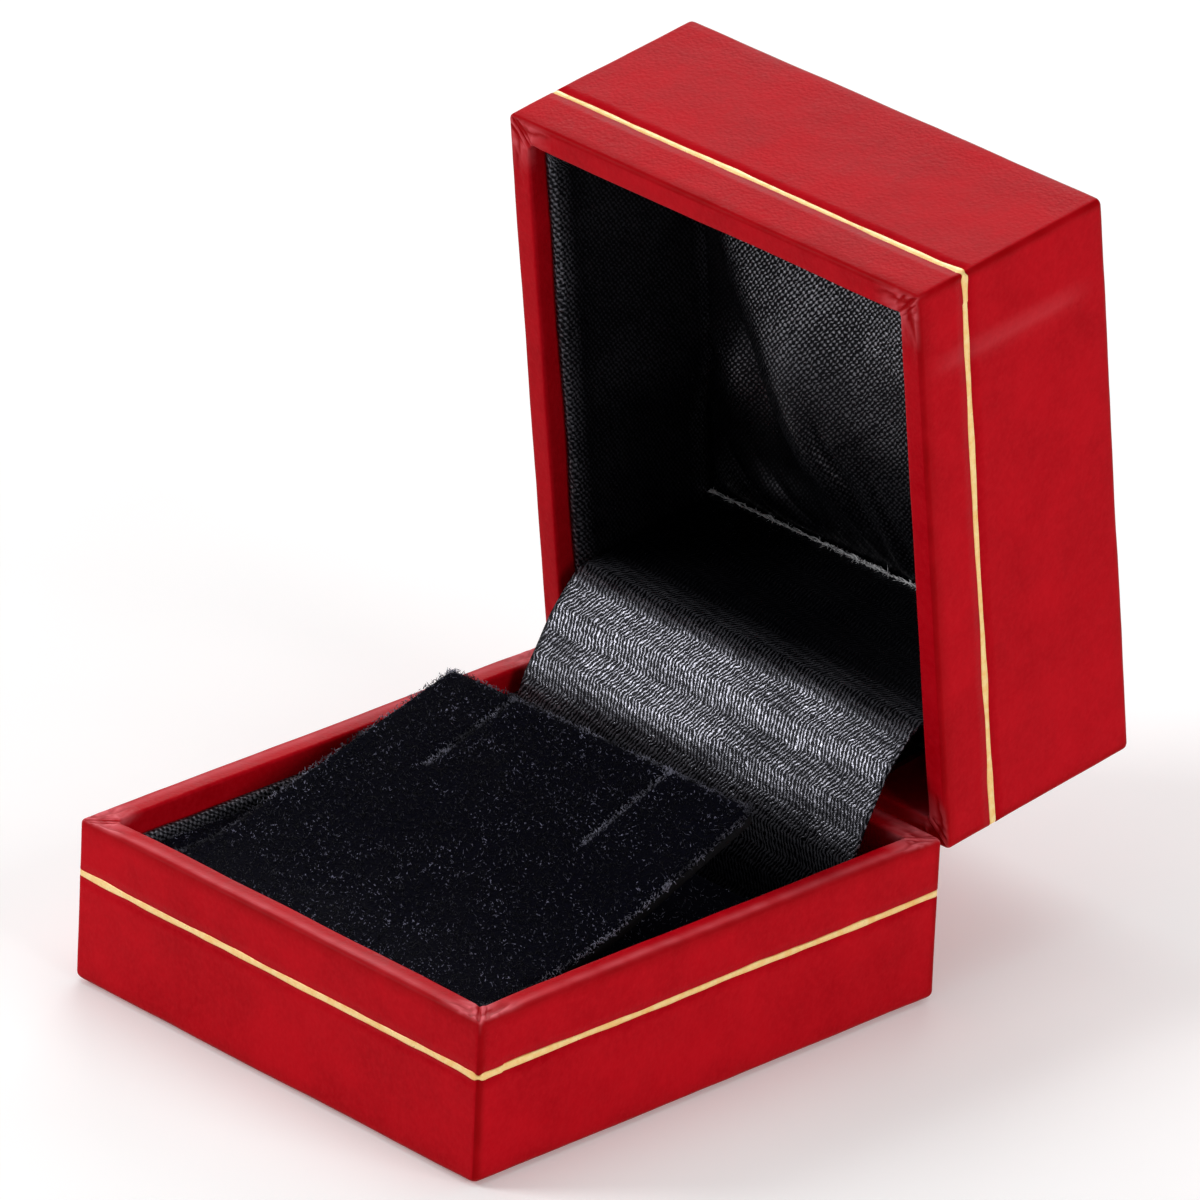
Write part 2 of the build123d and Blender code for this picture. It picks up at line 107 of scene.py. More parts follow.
def quarter(count):
    """Evenly spaced angles over a quarter turn."""
    return np.radians(np.linspace(0, 90, count))


def unit(ways):
    """Directions made one long."""
    return ways / np.linalg.norm(ways, axis=1)[:, None]


def rumple(points, size, seed=0):
    """Smooth noise from -1 to 1 at each point, with features about size millimetres wide."""
    shift = Vector((seed * 7.31, seed * 3.17, seed * 5.73))
    return np.array([noise.noise(Vector(p) / size + shift) for p in points])


def spots_of(piece):
    """A mesh's points as they are stored."""
    return np.array([v.co for v in piece.data.vertices])


class Half:
    """One half of the box: across, along to the hinge, and deep below its rim."""

    def __init__(self, body, wrap, turn, facing):
        self.body = body
        along = (0, cos(turn), -sin(turn))
        deep = (0, facing * sin(turn), facing * cos(turn))
        self.axes = np.array([(1, 0, 0), along, deep])
        self.origin = np.zeros(3)
        low, high = self.extent(wrap)
        self.size = high - low
        self.origin = np.array([0, (low[1] + high[1]) / 2, low[2]]) @ self.axes

    def extent(self, node):
        """Lowest and highest corner of a CAD node in this half's coordinates."""
        local = (spots_of(frame["nodes"][node]) / MM - self.origin) @ self.axes.T
        return local.min(0), local.max(0)

    def world(self, points):
        """Points of this half as millimetres in the shared frame."""
        return self.origin + np.asarray(points) @ self.axes


base = Half("base", "base_wrap", 0.0, -1)
lid = Half("lid", "lid_wrap", OPEN_ANGLE, 1)


def box_mm(node):
    """Lowest and highest corner of a CAD node, in millimetres."""
    return [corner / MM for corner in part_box(node)]


def shift_to(piece, spots):
    """Moves a mesh's points to new places."""
    piece.data.vertices.foreach_set("co", spots.astype(np.float32).ravel())
    piece.data.update()


def add_object(name, data):
    """A new object in the scene."""
    made = bpy.data.objects.new(name, data)
    bpy.context.scene.collection.objects.link(made)
    return made


def make_mesh(name, points, faces, material, uv=None):
    """A smooth-shaded object from points in millimetres, with an optional uv in millimetres."""
    mesh = bpy.data.meshes.new(name)
    mesh.from_pydata((np.asarray(points) * MM).tolist(), [], [list(f) for f in faces])
    mesh.polygons.foreach_set("use_smooth", np.ones(len(mesh.polygons), bool))
    if uv is not None:
        corners = np.zeros(len(mesh.loops), int)
        mesh.loops.foreach_get("vertex_index", corners)
        layer = mesh.uv_layers.new(name="weave")
        layer.data.foreach_set("uv", np.asarray(uv)[corners].astype(np.float32).ravel())
    mesh.materials.append(material)
    mesh.update()
    return add_object(name, mesh)


def grid_faces(rows, columns, loop_rows=False, loop_columns=False, flip=False):
    """Quads of a grid of points stored row by row."""
    faces = []
    for i in range(rows if loop_rows else rows - 1):
        for j in range(columns if loop_columns else columns - 1):
            here, below, right = i * columns, (i + 1) % rows * columns, (j + 1) % columns
            face = (here + j, here + right, below + right, below + j)
            faces.append(face[::-1] if flip else face)
    return faces


def nudge(piece, amount):
    """Moves each point along its normal by amount(points), all in millimetres."""
    points = spots_of(piece) / MM
    normals = np.array([n.vector for n in piece.data.vertex_normals])
    shift_to(piece, (points + normals * amount(points)[:, None]) * MM)


def mark(piece, name, amount):
    """Stores a number from 0 to 1 at each point, for the material to read."""
    layer = piece.data.attributes.new(name, "FLOAT", "POINT")
    layer.data.foreach_set("value", np.clip(amount, 0, 1).astype(np.float32))


def thicken(piece, thickness):
    """Gives a sheet its thickness, on the side that its normals point away from."""
    solid = piece.modifiers.new("thickness", "SOLIDIFY")
    solid.thickness = thickness * MM
    solid.offset = -1
    solid.use_even_offset = False


def coat(piece, material):
    """Puts one material on a piece in place of what it has."""
    piece.data.materials.clear()
    piece.data.materials.append(material)


def settle(piece, body, slot, *nodes):
    """Gives a piece its body unless it bends, and hides the CAD nodes it stands for; slot is not used.
    """
    if body:
        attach(piece, body)
    if nodes:
        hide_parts(*nodes)


# ---- materials ----


CHEVRON_BAND = 2.3


class Finish:
    """A procedural material: a principled shader and short calls for the nodes before it."""

    def __init__(self, name, **sockets):
        self.material = bpy.data.materials.new(name)
        self.material.use_nodes = True
        self.tree = self.material.node_tree
        self.shader = self.tree.nodes["Principled BSDF"]
        for socket, value in sockets.items():
            self.shader.inputs[socket.replace("_", " ")].default_value = value

    def plug(self, socket, value):
        """Gives a socket a value or another node's output."""
        if isinstance(value, bpy.types.NodeSocket):
            self.tree.links.new(value, socket)
        else:
            socket.default_value = value

    def node(self, kind, inputs, **settings):
        """Adds a node; inputs maps a socket's name or number to a value or an output."""
        made = self.tree.nodes.new("ShaderNode" + kind)
        for key, value in settings.items():
            setattr(made, key, value)
        for key, value in inputs.items():
            self.plug(made.inputs[key], value)
        return made

    def math(self, operation, *values):
        return self.node("Math", dict(enumerate(values)), operation=operation).outputs[0]

    def add(self, first, second):
        return self.math("ADD", first, second)

    def times(self, first, second):
        return self.math("MULTIPLY", first, second)

    def marked(self, name):
        """The number that mark() stored at each point."""
        return self.node("Attribute", {}, attribute_name=name).outputs["Fac"]

    def place(self):
        """The object's own coordinates in millimetres."""
        spot = self.node("TexCoord", {}).outputs["Object"]
        return self.node("VectorMath", {0: spot, 3: 1 / MM}, operation="SCALE").outputs[0]

    def cloth_place(self):
        """Across and along a cloth, in millimetres."""
        spot = self.node("UVMap", {}, uv_map="weave").outputs[0]
        split = self.node("SeparateXYZ", {0: spot})
        return split.outputs[0], split.outputs[1]

    def noise(self, place, size, detail=2.0, roughness=0.5, distortion=0.0):
        """Noise whose features are about size millimetres wide."""
        inputs = {"Vector": place, "Scale": 1 / size, "Detail": detail, "Roughness": roughness}
        return self.node("TexNoise", {**inputs, "Distortion": distortion}).outputs["Fac"]

    def spread(self, value, low, high, to_low, to_high):
        """value's stretch from low to high, laid over to_low to to_high."""
        inputs = {0: value, 1: low, 2: high, 3: to_low, 4: to_high}
        return self.node("MapRange", inputs).outputs[0]

    def blend(self, share, first, second):
        """A colour between first and second."""
        mix = self.node("Mix", {}, data_type="RGBA")
        sockets = {socket.identifier: socket for socket in mix.inputs}
        self.plug(sockets["Factor_Float"], share)
        self.plug(sockets["A_Color"], first)
        self.plug(sockets["B_Color"], second)
        return next(s for s in mix.outputs if s.identifier == "Result_Color")

    def feed(self, socket, output):
        self.plug(self.shader.inputs[socket], output)

    def relief(self, *layers):
        """Stacked bumps, each (height output, depth in millimetres, strength)."""
        below = {}
        for height, depth, strength in layers:
            inputs = {"Height": height, "Distance": depth * MM, "Strength": strength}
            below = {"Normal": self.node("Bump", {**inputs, **below}).outputs[0]}
        self.feed("Normal", below["Normal"])


def rgb(red, green, blue):
    """A linear colour from 8-bit screen values."""
    def linear(value):
        share = value / 255
        return share / 12.92 if share <= 0.04045 else ((share + 0.055) / 1.055) ** 2.4

    return (linear(red), linear(green), linear(blue), 1.0)


def make_leather():
    """Red leatherette: fine grain, cloudy mottling, a soft gloss that varies."""
    finish = Finish("red_leatherette_skin", Specular_IOR_Level=0.03)
    place = finish.place()
    cloud = finish.noise(place, 8.0, 4.0, 0.62)
    fleck = finish.noise(place, 0.55, 3.0, 0.6)
    colour = finish.blend(finish.spread(cloud, 0.35, 0.65, 0, 1), rgb(168, 0, 15), rgb(186, 6, 22))
    colour = finish.blend(finish.spread(fleck, 0.4, 0.75, 0, 0.4), colour, rgb(198, 22, 34))
    # Darker red along the creases over the edges, and painted shade in the sunk corner pleats.
    colour = finish.blend(finish.marked("crease_and_pleat_shade"), colour, rgb(148, 0, 6))
    # Painted highlight in pale pink: along the base's rim, on the crumpled corners and along the lid's
    # side wrinkle.
    colour = finish.blend(finish.marked("painted_highlight"), colour, rgb(226, 104, 112))
    finish.feed("Base Color", colour)
    gloss = finish.spread(cloud, 0.3, 0.7, 0.36, 0.5)
    finish.feed("Roughness", finish.add(gloss, finish.spread(fleck, 0.3, 0.7, -0.05, 0.05)))
    grain = {"Vector": place, "Scale": 1 / 0.34}
    cells = finish.node("TexVoronoi", grain, feature="SMOOTH_F1").outputs["Distance"]
    finish.relief(
        (finish.noise(place, 3.2, 3.0), 0.08, 0.5),
        (cells, 0.05, 0.45),
        (finish.noise(place, 0.2, 2.0), 0.018, 0.5),
    )
    return finish.material


def make_foil():
    """Gold foil, slightly crinkled."""
    finish = Finish("gold_foil_line", Metallic=0.2, Specular_IOR_Level=0.6)
    place = finish.place()
    wear = finish.noise(place, 0.9, 4.0, 0.65)
    share = finish.spread(wear, 0.4, 0.7, 0, 1)
    finish.feed("Base Color", finish.blend(share, rgb(255, 222, 150), rgb(250, 196, 108)))
    finish.feed("Roughness", finish.spread(wear, 0.3, 0.7, 0.26, 0.46))
    finish.relief((finish.noise(place, 0.35, 3.0), 0.03, 0.6))
    return finish.material


def make_satin(name, angle, pitch=0.42, chevron=0.0, gloss=0.3, shine=110, depth=0.05,
               dash=1.4, broken=0.75, sparse=0.35):
    """Black satin: fine slanted floats, broken by the crossing threads.

    angle is the floats' slant from the cloth's own length and pitch their spacing. chevron turns
    the slant back and forth in bands, as light plays on a rolled weave. dash is a float's length
    over its pitch, broken how much the crossing threads show, and sparse is higher where less
    thread shows. The floats' pale colour is a painted highlight on black cloth; where the cloth's
    mark of painted shade is 1, nine tenths of it is taken away.
    """
    finish = Finish(name, Specular_IOR_Level=0.3, Metallic=0.7, Anisotropic=0.2)
    add, times, spread = finish.add, finish.times, finish.spread
    place = finish.place()
    across, along = finish.cloth_place()
    waver = spread(finish.noise(place, 2.4, 2.0), 0, 1, -0.35, 0.35)
    if chevron:
        band = finish.math("PINGPONG", add(along, waver), CHEVRON_BAND)
        across = add(across, times(band, chevron))
    slant = radians(angle)
    lead = add(times(across, cos(slant)), times(along, sin(slant)))
    wobble = spread(finish.noise(place, 0.6, 3.0, 0.65), 0, 1, -0.36, 0.36)
    lead = add(lead, add(wobble, times(waver, 0.25)))
    cross = finish.math("SUBTRACT", times(along, cos(slant)), times(across, sin(slant)))
    floats = finish.math("SINE", times(lead, 2 * pi / pitch))
    stitches = finish.math("SINE", times(cross, 2 * pi / (dash * pitch)))
    weave = spread(add(floats, times(stitches, broken)), -1 - broken, 1 + broken, 0, 1)
    weave = times(weave, spread(finish.noise(place, 5.0, 2.0), 0.35, 0.65, 0.8, 1.0))
    # The share of the floats' painted highlight that is kept; the mark is painted shade.
    highlight_share = finish.math("SUBTRACT", 1.0, times(finish.marked("painted_shade"), 0.9))
    lit = times(spread(weave, sparse, 0.8, 0, 1), highlight_share)
    finish.feed("Base Color", finish.blend(lit, rgb(2, 2, 8), rgb(shine, shine, shine + 8)))
    slub = spread(finish.noise(place, 0.8, 3.0), 0.3, 0.7, -0.05, 0.07)
    finish.feed("Roughness", add(slub, spread(weave, 0.2, 0.7, gloss + 0.15, gloss)))
    finish.relief((finish.noise(place, 1.6, 3.0), 0.12, 0.25), (times(weave, highlight_share), depth, 0.9))
    return finish.material


def make_velvet():
    """Black velvet: a rough dark pile with a cool sheen and paler brushed patches."""
    finish = Finish("black_velvet_pile", Specular_IOR_Level=0.03, Sheen_Weight=0.03,
                    Sheen_Roughness=0.5, Sheen_Tint=rgb(150, 150, 190))
    place = finish.place()
    brushed = finish.noise(place, 4.5, 3.0, 0.6)
    pile = finish.noise(place, 0.3, 3.0, 0.7)
    lit = finish.spread(pile, 0.45, 0.75, 0, 1)
    share = finish.times(finish.spread(brushed, 0.35, 0.7, 0.2, 1.0), lit)
    finish.feed("Base Color", finish.blend(share, rgb(2, 2, 7), rgb(10, 10, 22)))
    finish.feed("Roughness", finish.spread(brushed, 0.3, 0.7, 0.85, 1.0))
    finish.relief((brushed, 0.15, 0.2), (pile, 0.18, 0.9))
    return finish.material


def make_nap_finish(name, dark_share, light):
    """Single pile fibres: some nearly black, some catching the light."""
    finish = Finish(name, Specular_IOR_Level=0.12)
    place = finish.place()
    fibre = finish.noise(place, 0.34, 1.0)
    patch = finish.noise(place, 3.5, 2.0)
    lit = finish.spread(fibre, dark_share, dark_share + 0.1, 0, 1)
    share = finish.times(lit, finish.spread(patch, 0.4, 0.62, 0.12, 1.0))
    # Painted glints: a share of the fibres, gathered in patches, gets the pale colour; the velvet's
    # fibres themselves are black.
    finish.feed("Base Color", finish.blend(share, rgb(3, 3, 8), light))
    finish.feed("Roughness", finish.spread(patch, 0.3, 0.7, 0.5, 0.7))
    finish.relief((fibre, 0.02, 0.3))
    return finish.material


def make_plain(name, first, second, size, roughness, depth, **sockets):
    """Card, paper, board or foam: two close colours, clouded and fibrous."""
    finish = Finish(name, **sockets)
    place = finish.place()
    fibre = finish.noise(place, size, 5.0, 0.65, 0.3)
    finish.feed("Base Color", finish.blend(finish.spread(fibre, 0.35, 0.65, 0, 1), first, second))
    finish.feed("Roughness", finish.spread(fibre, 0.3, 0.7, roughness - 0.08, roughness + 0.08))
    finish.relief((fibre, depth, 0.6), (finish.noise(place, size / 4, 2.0), depth / 2, 0.4))
    return finish.material


def make_steel():
    """Plated steel with fine rolled streaks."""
    finish = Finish("hinge_steel_plated", Metallic=1.0)
    stretched = {0: finish.place(), 1: (0.25, 3.0, 3.0)}
    place = finish.node("VectorMath", stretched, operation="MULTIPLY").outputs[0]
    streak = finish.noise(place, 0.5, 4.0)
    finish.feed("Base Color", finish.blend(streak, rgb(150, 150, 150), rgb(200, 200, 198)))
    finish.feed("Roughness", finish.spread(streak, 0.3, 0.7, 0.25, 0.42))
    finish.relief((streak, 0.02, 0.4))
    return finish.material


leather = make_leather()
foil = make_foil()
velvet = make_velvet()
nap = make_nap_finish("black_velvet_nap", 0.57, rgb(150, 150, 176))
frayed_pile = make_nap_finish("black_velvet_fray", 0.38, rgb(132, 132, 148))
thread = make_plain("seam_thread", rgb(150, 150, 154), rgb(232, 232, 234), 0.3, 0.8, 0.05)
card = make_plain("black_card_board", rgb(3, 3, 4), rgb(12, 12, 15), 0.6, 0.85, 0.05,
                  Specular_IOR_Level=0.1)
board = make_plain("grey_board", rgb(150, 140, 122), rgb(176, 166, 146), 0.8, 0.9, 0.06)
paper = make_plain("bottom_paper_sheet", rgb(12, 12, 13), rgb(30, 30, 32), 1.2, 0.75, 0.03)
foam = make_plain("white_foam", rgb(176, 176, 170), rgb(206, 206, 200), 0.5, 0.95, 0.2)
steel = make_steel()

for material, names in (
    (board, "base_shell lid_shell"),
    (paper, "base_bottom_sheet"),
    (card, "base_liner_card lid_liner_card lid_ceiling_card lid_hinge_board insert_card"),
    (card, "ring_flap_card clip_tab_card"),
    (foam, "base_floor_pad lid_ceiling_foam"),
    (steel, "base_hinge_leaf lid_hinge_leaf hinge_pin base_hinge_rivets lid_hinge_rivets"),
):
    for name in names.split():
        coat(frame["nodes"][name], material)


# ---- outlines ----


class Outline:
    """Samples round a rounded rectangle, which keep their places at any inset and radius.

    A sample is at start + grow * (half - radius - core) + curl * radius on each axis, so that
    only the last few millimetres before a corner stretch. The samples run down the left side,
    along the front and up the right side; a closed outline goes on along the back, with extra
    samples beside each place in marks.
    """

    CORE_MARGIN = 3.0
    STEP = 0.8
    FINE = 12
    ARC = 10

    def __init__(self, half_across, half_along, rear=None, marks=()):
        self.half = np.array([half_across, half_along])
        self.core = self.half - self.CORE_MARGIN
        self.samples = []
        closed = rear is None
        across, along = self.core
        back = along if closed else rear
        up = np.linspace(-along, back, int((back + along) / self.STEP))
        over = np.linspace(-across, across, int(2 * across / self.STEP))
        fine = np.arange(1, self.FINE) / self.FINE
        self.side(0, -1, up[::-1], fine if closed else fine[:0], fine)
        self.corner(-1, -1)
        self.side(1, -1, over, fine, fine)
        self.corner(1, -1)
        self.side(0, 1, up, fine, fine if closed else fine[:0])
        if closed:
            self.corner(1, 1)
            near = [m + d for m in marks for d in (-0.5, -0.3, -0.1, 0.1, 0.3, 0.5)]
            self.side(1, 1, np.sort([*over, *near])[::-1], fine, fine)
            self.corner(-1, 1)
        self.start, self.grow, self.curl = (
            np.array([s[i] for s in self.samples]) for i in range(3)
        )
        self.count = len(self.samples)

    def side(self, axis, sign, places, fine_first, fine_last):
        """One straight side; axis is the one that it keeps still, and sign its side."""
        first, last = np.sign(places[0]), np.sign(places[-1])
        for share in fine_first[::-1]:
            self.put(axis, sign, first * self.core[1 - axis], first * share)
        for place in places:
            self.put(axis, sign, place, 0.0)
        for share in fine_last:
            self.put(axis, sign, last * self.core[1 - axis], last * share)

    def put(self, axis, sign, place, share):
        start, grow, curl = np.zeros(2), np.zeros(2), np.zeros(2)
        start[axis], grow[axis], curl[axis] = sign * self.core[axis], sign, sign
        start[1 - axis], grow[1 - axis] = place, share
        self.samples.append((start, grow, curl))

    def corner(self, across, along):
        """A quarter turn; corners are met counter-clockwise from the left side."""
        sign = np.array([across, along], float)
        middle = atan2(along, across)
        for share in np.linspace(-0.5, 0.5, self.ARC):
            angle = middle + share * pi / 2
            curl = np.array([cos(angle), sin(angle)])
            self.samples.append((sign * self.core, sign, curl))

    def at(self, inset, radius=CORNER_RADIUS):
        """The samples' places (across, along) at an inset and corner radius."""
        inset, radius = np.broadcast_arrays(*np.atleast_1d(inset, radius))
        room = self.half[None] - inset[:, None] - radius[:, None] - self.core[None]
        return self.start + self.grow * room + self.curl * radius[:, None]

    def ring(self, inset, depth, radius=CORNER_RADIUS):
        """The samples at an inset, a depth and a corner radius, as points of a half."""
        return np.column_stack([self.at(inset, radius), depth * np.ones(self.count)])


def path_length(points):
    """Distance along a run of points, starting from 0."""
    steps = np.linalg.norm(np.diff(points, axis=0), axis=1)
    return np.concatenate([[0.0], np.cumsum(steps)])


# ---- leatherette skins and gold lines ----


def line_course(half, outline, depth):
    """Depth of a gold line's middle and half its width at each sample, slightly uneven."""
    places = outline.at(0)
    spots = np.column_stack([places, np.full(outline.count, depth)])
    seed = 1 if half is base else 2
    middle = depth + 0.12 * rumple(spots, 13, seed) + 0.03 * rumple(spots, 2.5, seed)
    start = (places[:, 0] > 0) & (places[:, 1] < -outline.core[1])
    middle = middle + 0.1 * start * smooth((places[:, 0] - outline.core[0]) / 2)
    wide = FOIL_WIDTH / 2 * (1 + 0.36 * rumple(spots, 3.4, seed + 5))
    ends = np.hypot(places[:, 0] - half.size[0] / 2, places[:, 1] + half.size[1] / 2)
    wide = wide * (1 + 0.5 * bump(ends, 0, 1.0) - 1.15 * bump(ends, 0, 0.42))
    return middle, wide


def wrap_rings(half, outline, notch_depth, middle, wide):
    """Rings of points from the turn-in over the rim and the groove to the closed end."""
    places = outline.at(0)
    edge = smooth((NOTCH + 0.25 - np.abs(places[:, 0])) / 0.5)
    rim = notch_depth * edge * (places[:, 1] > outline.core[1])
    top, bottom = middle - wide, middle + wide
    end = half.size[2] - END_RADIUS
    rows = [(WALL, TURN_IN + (rim + INNER_RIM_RADIUS - TURN_IN) * t) for t in np.linspace(0, 1, 12)[:-1]]
    for t in quarter(6):
        inset = WALL - INNER_RIM_RADIUS * (1 - cos(t))
        rows.append((inset, rim + INNER_RIM_RADIUS * (1 - sin(t))))
    rows += [(inset, rim) for inset in np.linspace(WALL - INNER_RIM_RADIUS, RIM_RADIUS, 6)[1:-1]]
    for t in quarter(8)[::-1]:
        rows.append((RIM_RADIUS * (1 - cos(t)), rim + RIM_RADIUS * (1 - sin(t))))
    for t in np.linspace(0, 1, 6)[1:-1]:
        rows.append((0.0, rim + RIM_RADIUS + (top - GROOVE_LIP - rim - RIM_RADIUS) * t))
    rows += [(0.0, top - GROOVE_LIP), (GROOVE, top), (GROOVE, bottom), (0.0, bottom + GROOVE_LIP)]
    for t in np.linspace(0, 1, int(end - middle.mean()) + 1)[1:-1]:
        rows.append((0.0, bottom + GROOVE_LIP + (end - bottom - GROOVE_LIP) * t))
    for t in quarter(6):
        rows.append((END_RADIUS * (1 - cos(t)), end + END_RADIUS * sin(t)))
    return [outline.ring(inset, depth) for inset, depth in rows]


def gather(half, points):
    """Pleats of the turned-in skin at the rim's corners, sunk so that the halves still meet."""
    away = half.size[None, :2] / 2 - np.abs(points[:, :2])
    far = away.max(1)
    slant = away[:, 0] - away[:, 1]
    on_rim = smooth((1.2 - points[:, 2]) / 0.8)
    corner = (points[:, 0] > 0) * 1 + (points[:, 1] > 0) * 2 + (3 if half is lid else 0)
    pleats = np.zeros(len(points))
    for k, (place, height, width) in enumerate(PLEATS):
        shift = 0.25 * np.sin(corner * 2.3 + k * 1.7)
        pleats += height * bump(slant, place + shift, width)
    pleats += 0.07 * smooth((slant + 0.1) / 0.25)
    pleats *= smooth((3.2 - far) / 1.6) * smooth((PLEAT_REACH - points[:, 2]) / 1.2)
    crumple = 0.26 * np.abs(rumple(points, 0.8, 9)) * smooth((6.5 - far) / 4)
    course = 0.95 + 0.16 * np.sin(1.9 * far + corner)
    fold = 0.3 * bump(away.min(1), course, 0.26) * bump(far, 3.2, 2.2)
    lift = (pleats + (crumple + fold) * on_rim) * smooth(away.min(1) / 0.5)
    return PLEAT * np.tanh(0.7 * lift / PLEAT)


def mark_creases_and_painted_light(piece, points, half, lift, wrinkle):
    """Marks where the skin is stretched over the upright corners, the rim and the closed end, with
    painted shade in its sunk pleats and painted highlights.
    """
    away = half.size[None, :2] / 2 - np.abs(points[:, :2])
    upright = bump(away[:, 1], 0.3, 0.45) * (away[:, 0] < 0.3)
    upright = upright + 0.5 * bump(away[:, 0], 0.1, 0.2) * (away[:, 1] < 0.3)
    ends = bump(points[:, 2], 0.2, 0.35) + bump(points[:, 2], half.size[2] - 0.2, 0.35)
    amount = 0.95 * np.clip(upright + ends * (away.min(1) < 0.4), 0, 1)
    # Painted shade where the corner pleats sink deepest.
    hollow = smooth((lift - 0.07) / 0.08)
    mark(piece, "crease_and_pleat_shade", amount * (0.75 + 0.5 * rumple(points, 2.0, 6)) + 0.8 * hollow)
    # Painted highlights: on the crumpled rim corners, in a stripe along the base's rim and along the
    # lid's wrinkle.
    corner = smooth((5.6 - away.max(1)) / 3.5) * smooth((0.9 - points[:, 2]) / 0.5)
    shine = corner * (1 - hollow) * smooth(away.min(1) / 0.4) * (0.75 + rumple(points, 0.5, 7))
    if half is base:
        stripe = bump(away.min(1), 0.8, 0.42) * (points[:, 2] < 0.4)
        shine = shine + 0.5 * stripe * (0.75 + 0.5 * rumple(points, 1.5, 8))
    else:
        shine = 0.5 * shine + wrinkle
    mark(piece, "painted_highlight", shine)


def make_skin(half, outline, middle, wide):
    """One half's leatherette with its turn-in, pleated corners, groove and closed end."""
    rings = wrap_rings(half, outline, NOTCH_DEPTH[half.body], middle, wide)
    last = rings[-1]
    if half is lid:
        rings += [last * (s, s, 1) for s in (0.94, 0.85, 0.72, 0.57, 0.42, 0.28, 0.14, 0.02)]
    else:
        inner = outline.ring(TURN_UNDER, half.size[2])
        rings += [last * (1 - share) + inner * share for share in np.linspace(0, 1, 7)[1:]]
    points = np.concatenate(rings)
    lift = gather(half, points)
    points[:, 2] += lift
    faces = grid_faces(len(rings), outline.count, loop_columns=True, flip=half is base)
    if half is lid:
        centre = len(points)
        points = np.vstack([points, (0, 0, half.size[2])])
        lift = np.append(lift, 0)
        first = centre - outline.count
        faces += [(first + j, first + (j + 1) % outline.count, centre) for j in range(outline.count)]
    piece = make_mesh(f"{half.body}_skin", half.world(points), faces, leather)

    # A wrinkle on the lid's right side: a ridge in the skin, which also gets a painted highlight.
    wrinkle = np.zeros(len(points))
    if half is lid:
        across, along, depth = points.T
        wrinkle = 0.15 * bump(along + half.size[1] / 2 - 7.6, 0, 0.8) * smooth(depth / 5) * (across > 24)
        wrinkle = wrinkle * smooth((half.size[2] - 1 - depth) / 6)
    mark_creases_and_painted_light(piece, points, half, lift, wrinkle)
    wrinkle = wrinkle * smooth((np.abs(points[:, 2] - middle.mean()) - 0.6) / 1.5)
    seed = 3 if half is base else 4

    def unevenness(spots):
        return 0.07 * rumple(spots, 11, seed) + 0.025 * rumple(spots, 3, seed) + wrinkle

    nudge(piece, unevenness)
    thicken(piece, SKIN)
    settle(piece, half.body, "red_leatherette", f"{half.body}_wrap")


def make_line(half, node, outline, middle, wide):
    """The foil line in its groove, a closed band of uneven width."""
    rings = []
    for inset, side in (
        (GROOVE + 0.1, -0.94),
        (FOIL_INSET + 0.04, -0.97),
        (FOIL_INSET, -0.8),
        (FOIL_INSET, 0.8),
        (FOIL_INSET + 0.04, 0.97),
        (GROOVE + 0.1, 0.94),
    ):
        rings.append(outline.ring(inset, middle + side * wide, CORNER_RADIUS - inset))
    faces = grid_faces(6, outline.count, loop_rows=True, loop_columns=True, flip=half is base)
    points = half.world(np.concatenate(rings))
    piece = make_mesh(f"{half.body}_foil_line", points, faces, foil)
    nudge(piece, lambda spots: 0.02 * rumple(spots, 2.0, 3 if half is base else 4))
    settle(piece, half.body, "gold_foil", node)


for half in (base, lid):
    line = f"{half.body}_gold_line"
    low, high = half.extent(line)
    outline = Outline(half.size[0] / 2, half.size[1] / 2, marks=(-NOTCH, NOTCH))
    course = line_course(half, outline, (low[2] + high[2]) / 2)
    make_skin(half, outline, *course)
    make_line(half, line, outline, *course)


# ---- satin linings ----


LINER_THICK = 0.2
LINER_FACE = 0.85
LINER_LEAN = 2.3
LINER_ROLL = 0.9


def liner_lean(spots):
    """How far a lining stands off its wall at the ceiling, nothing near the hinge."""
    return LINER_LEAN * smooth((9.5 - spots[:, 1]) / 9.5)


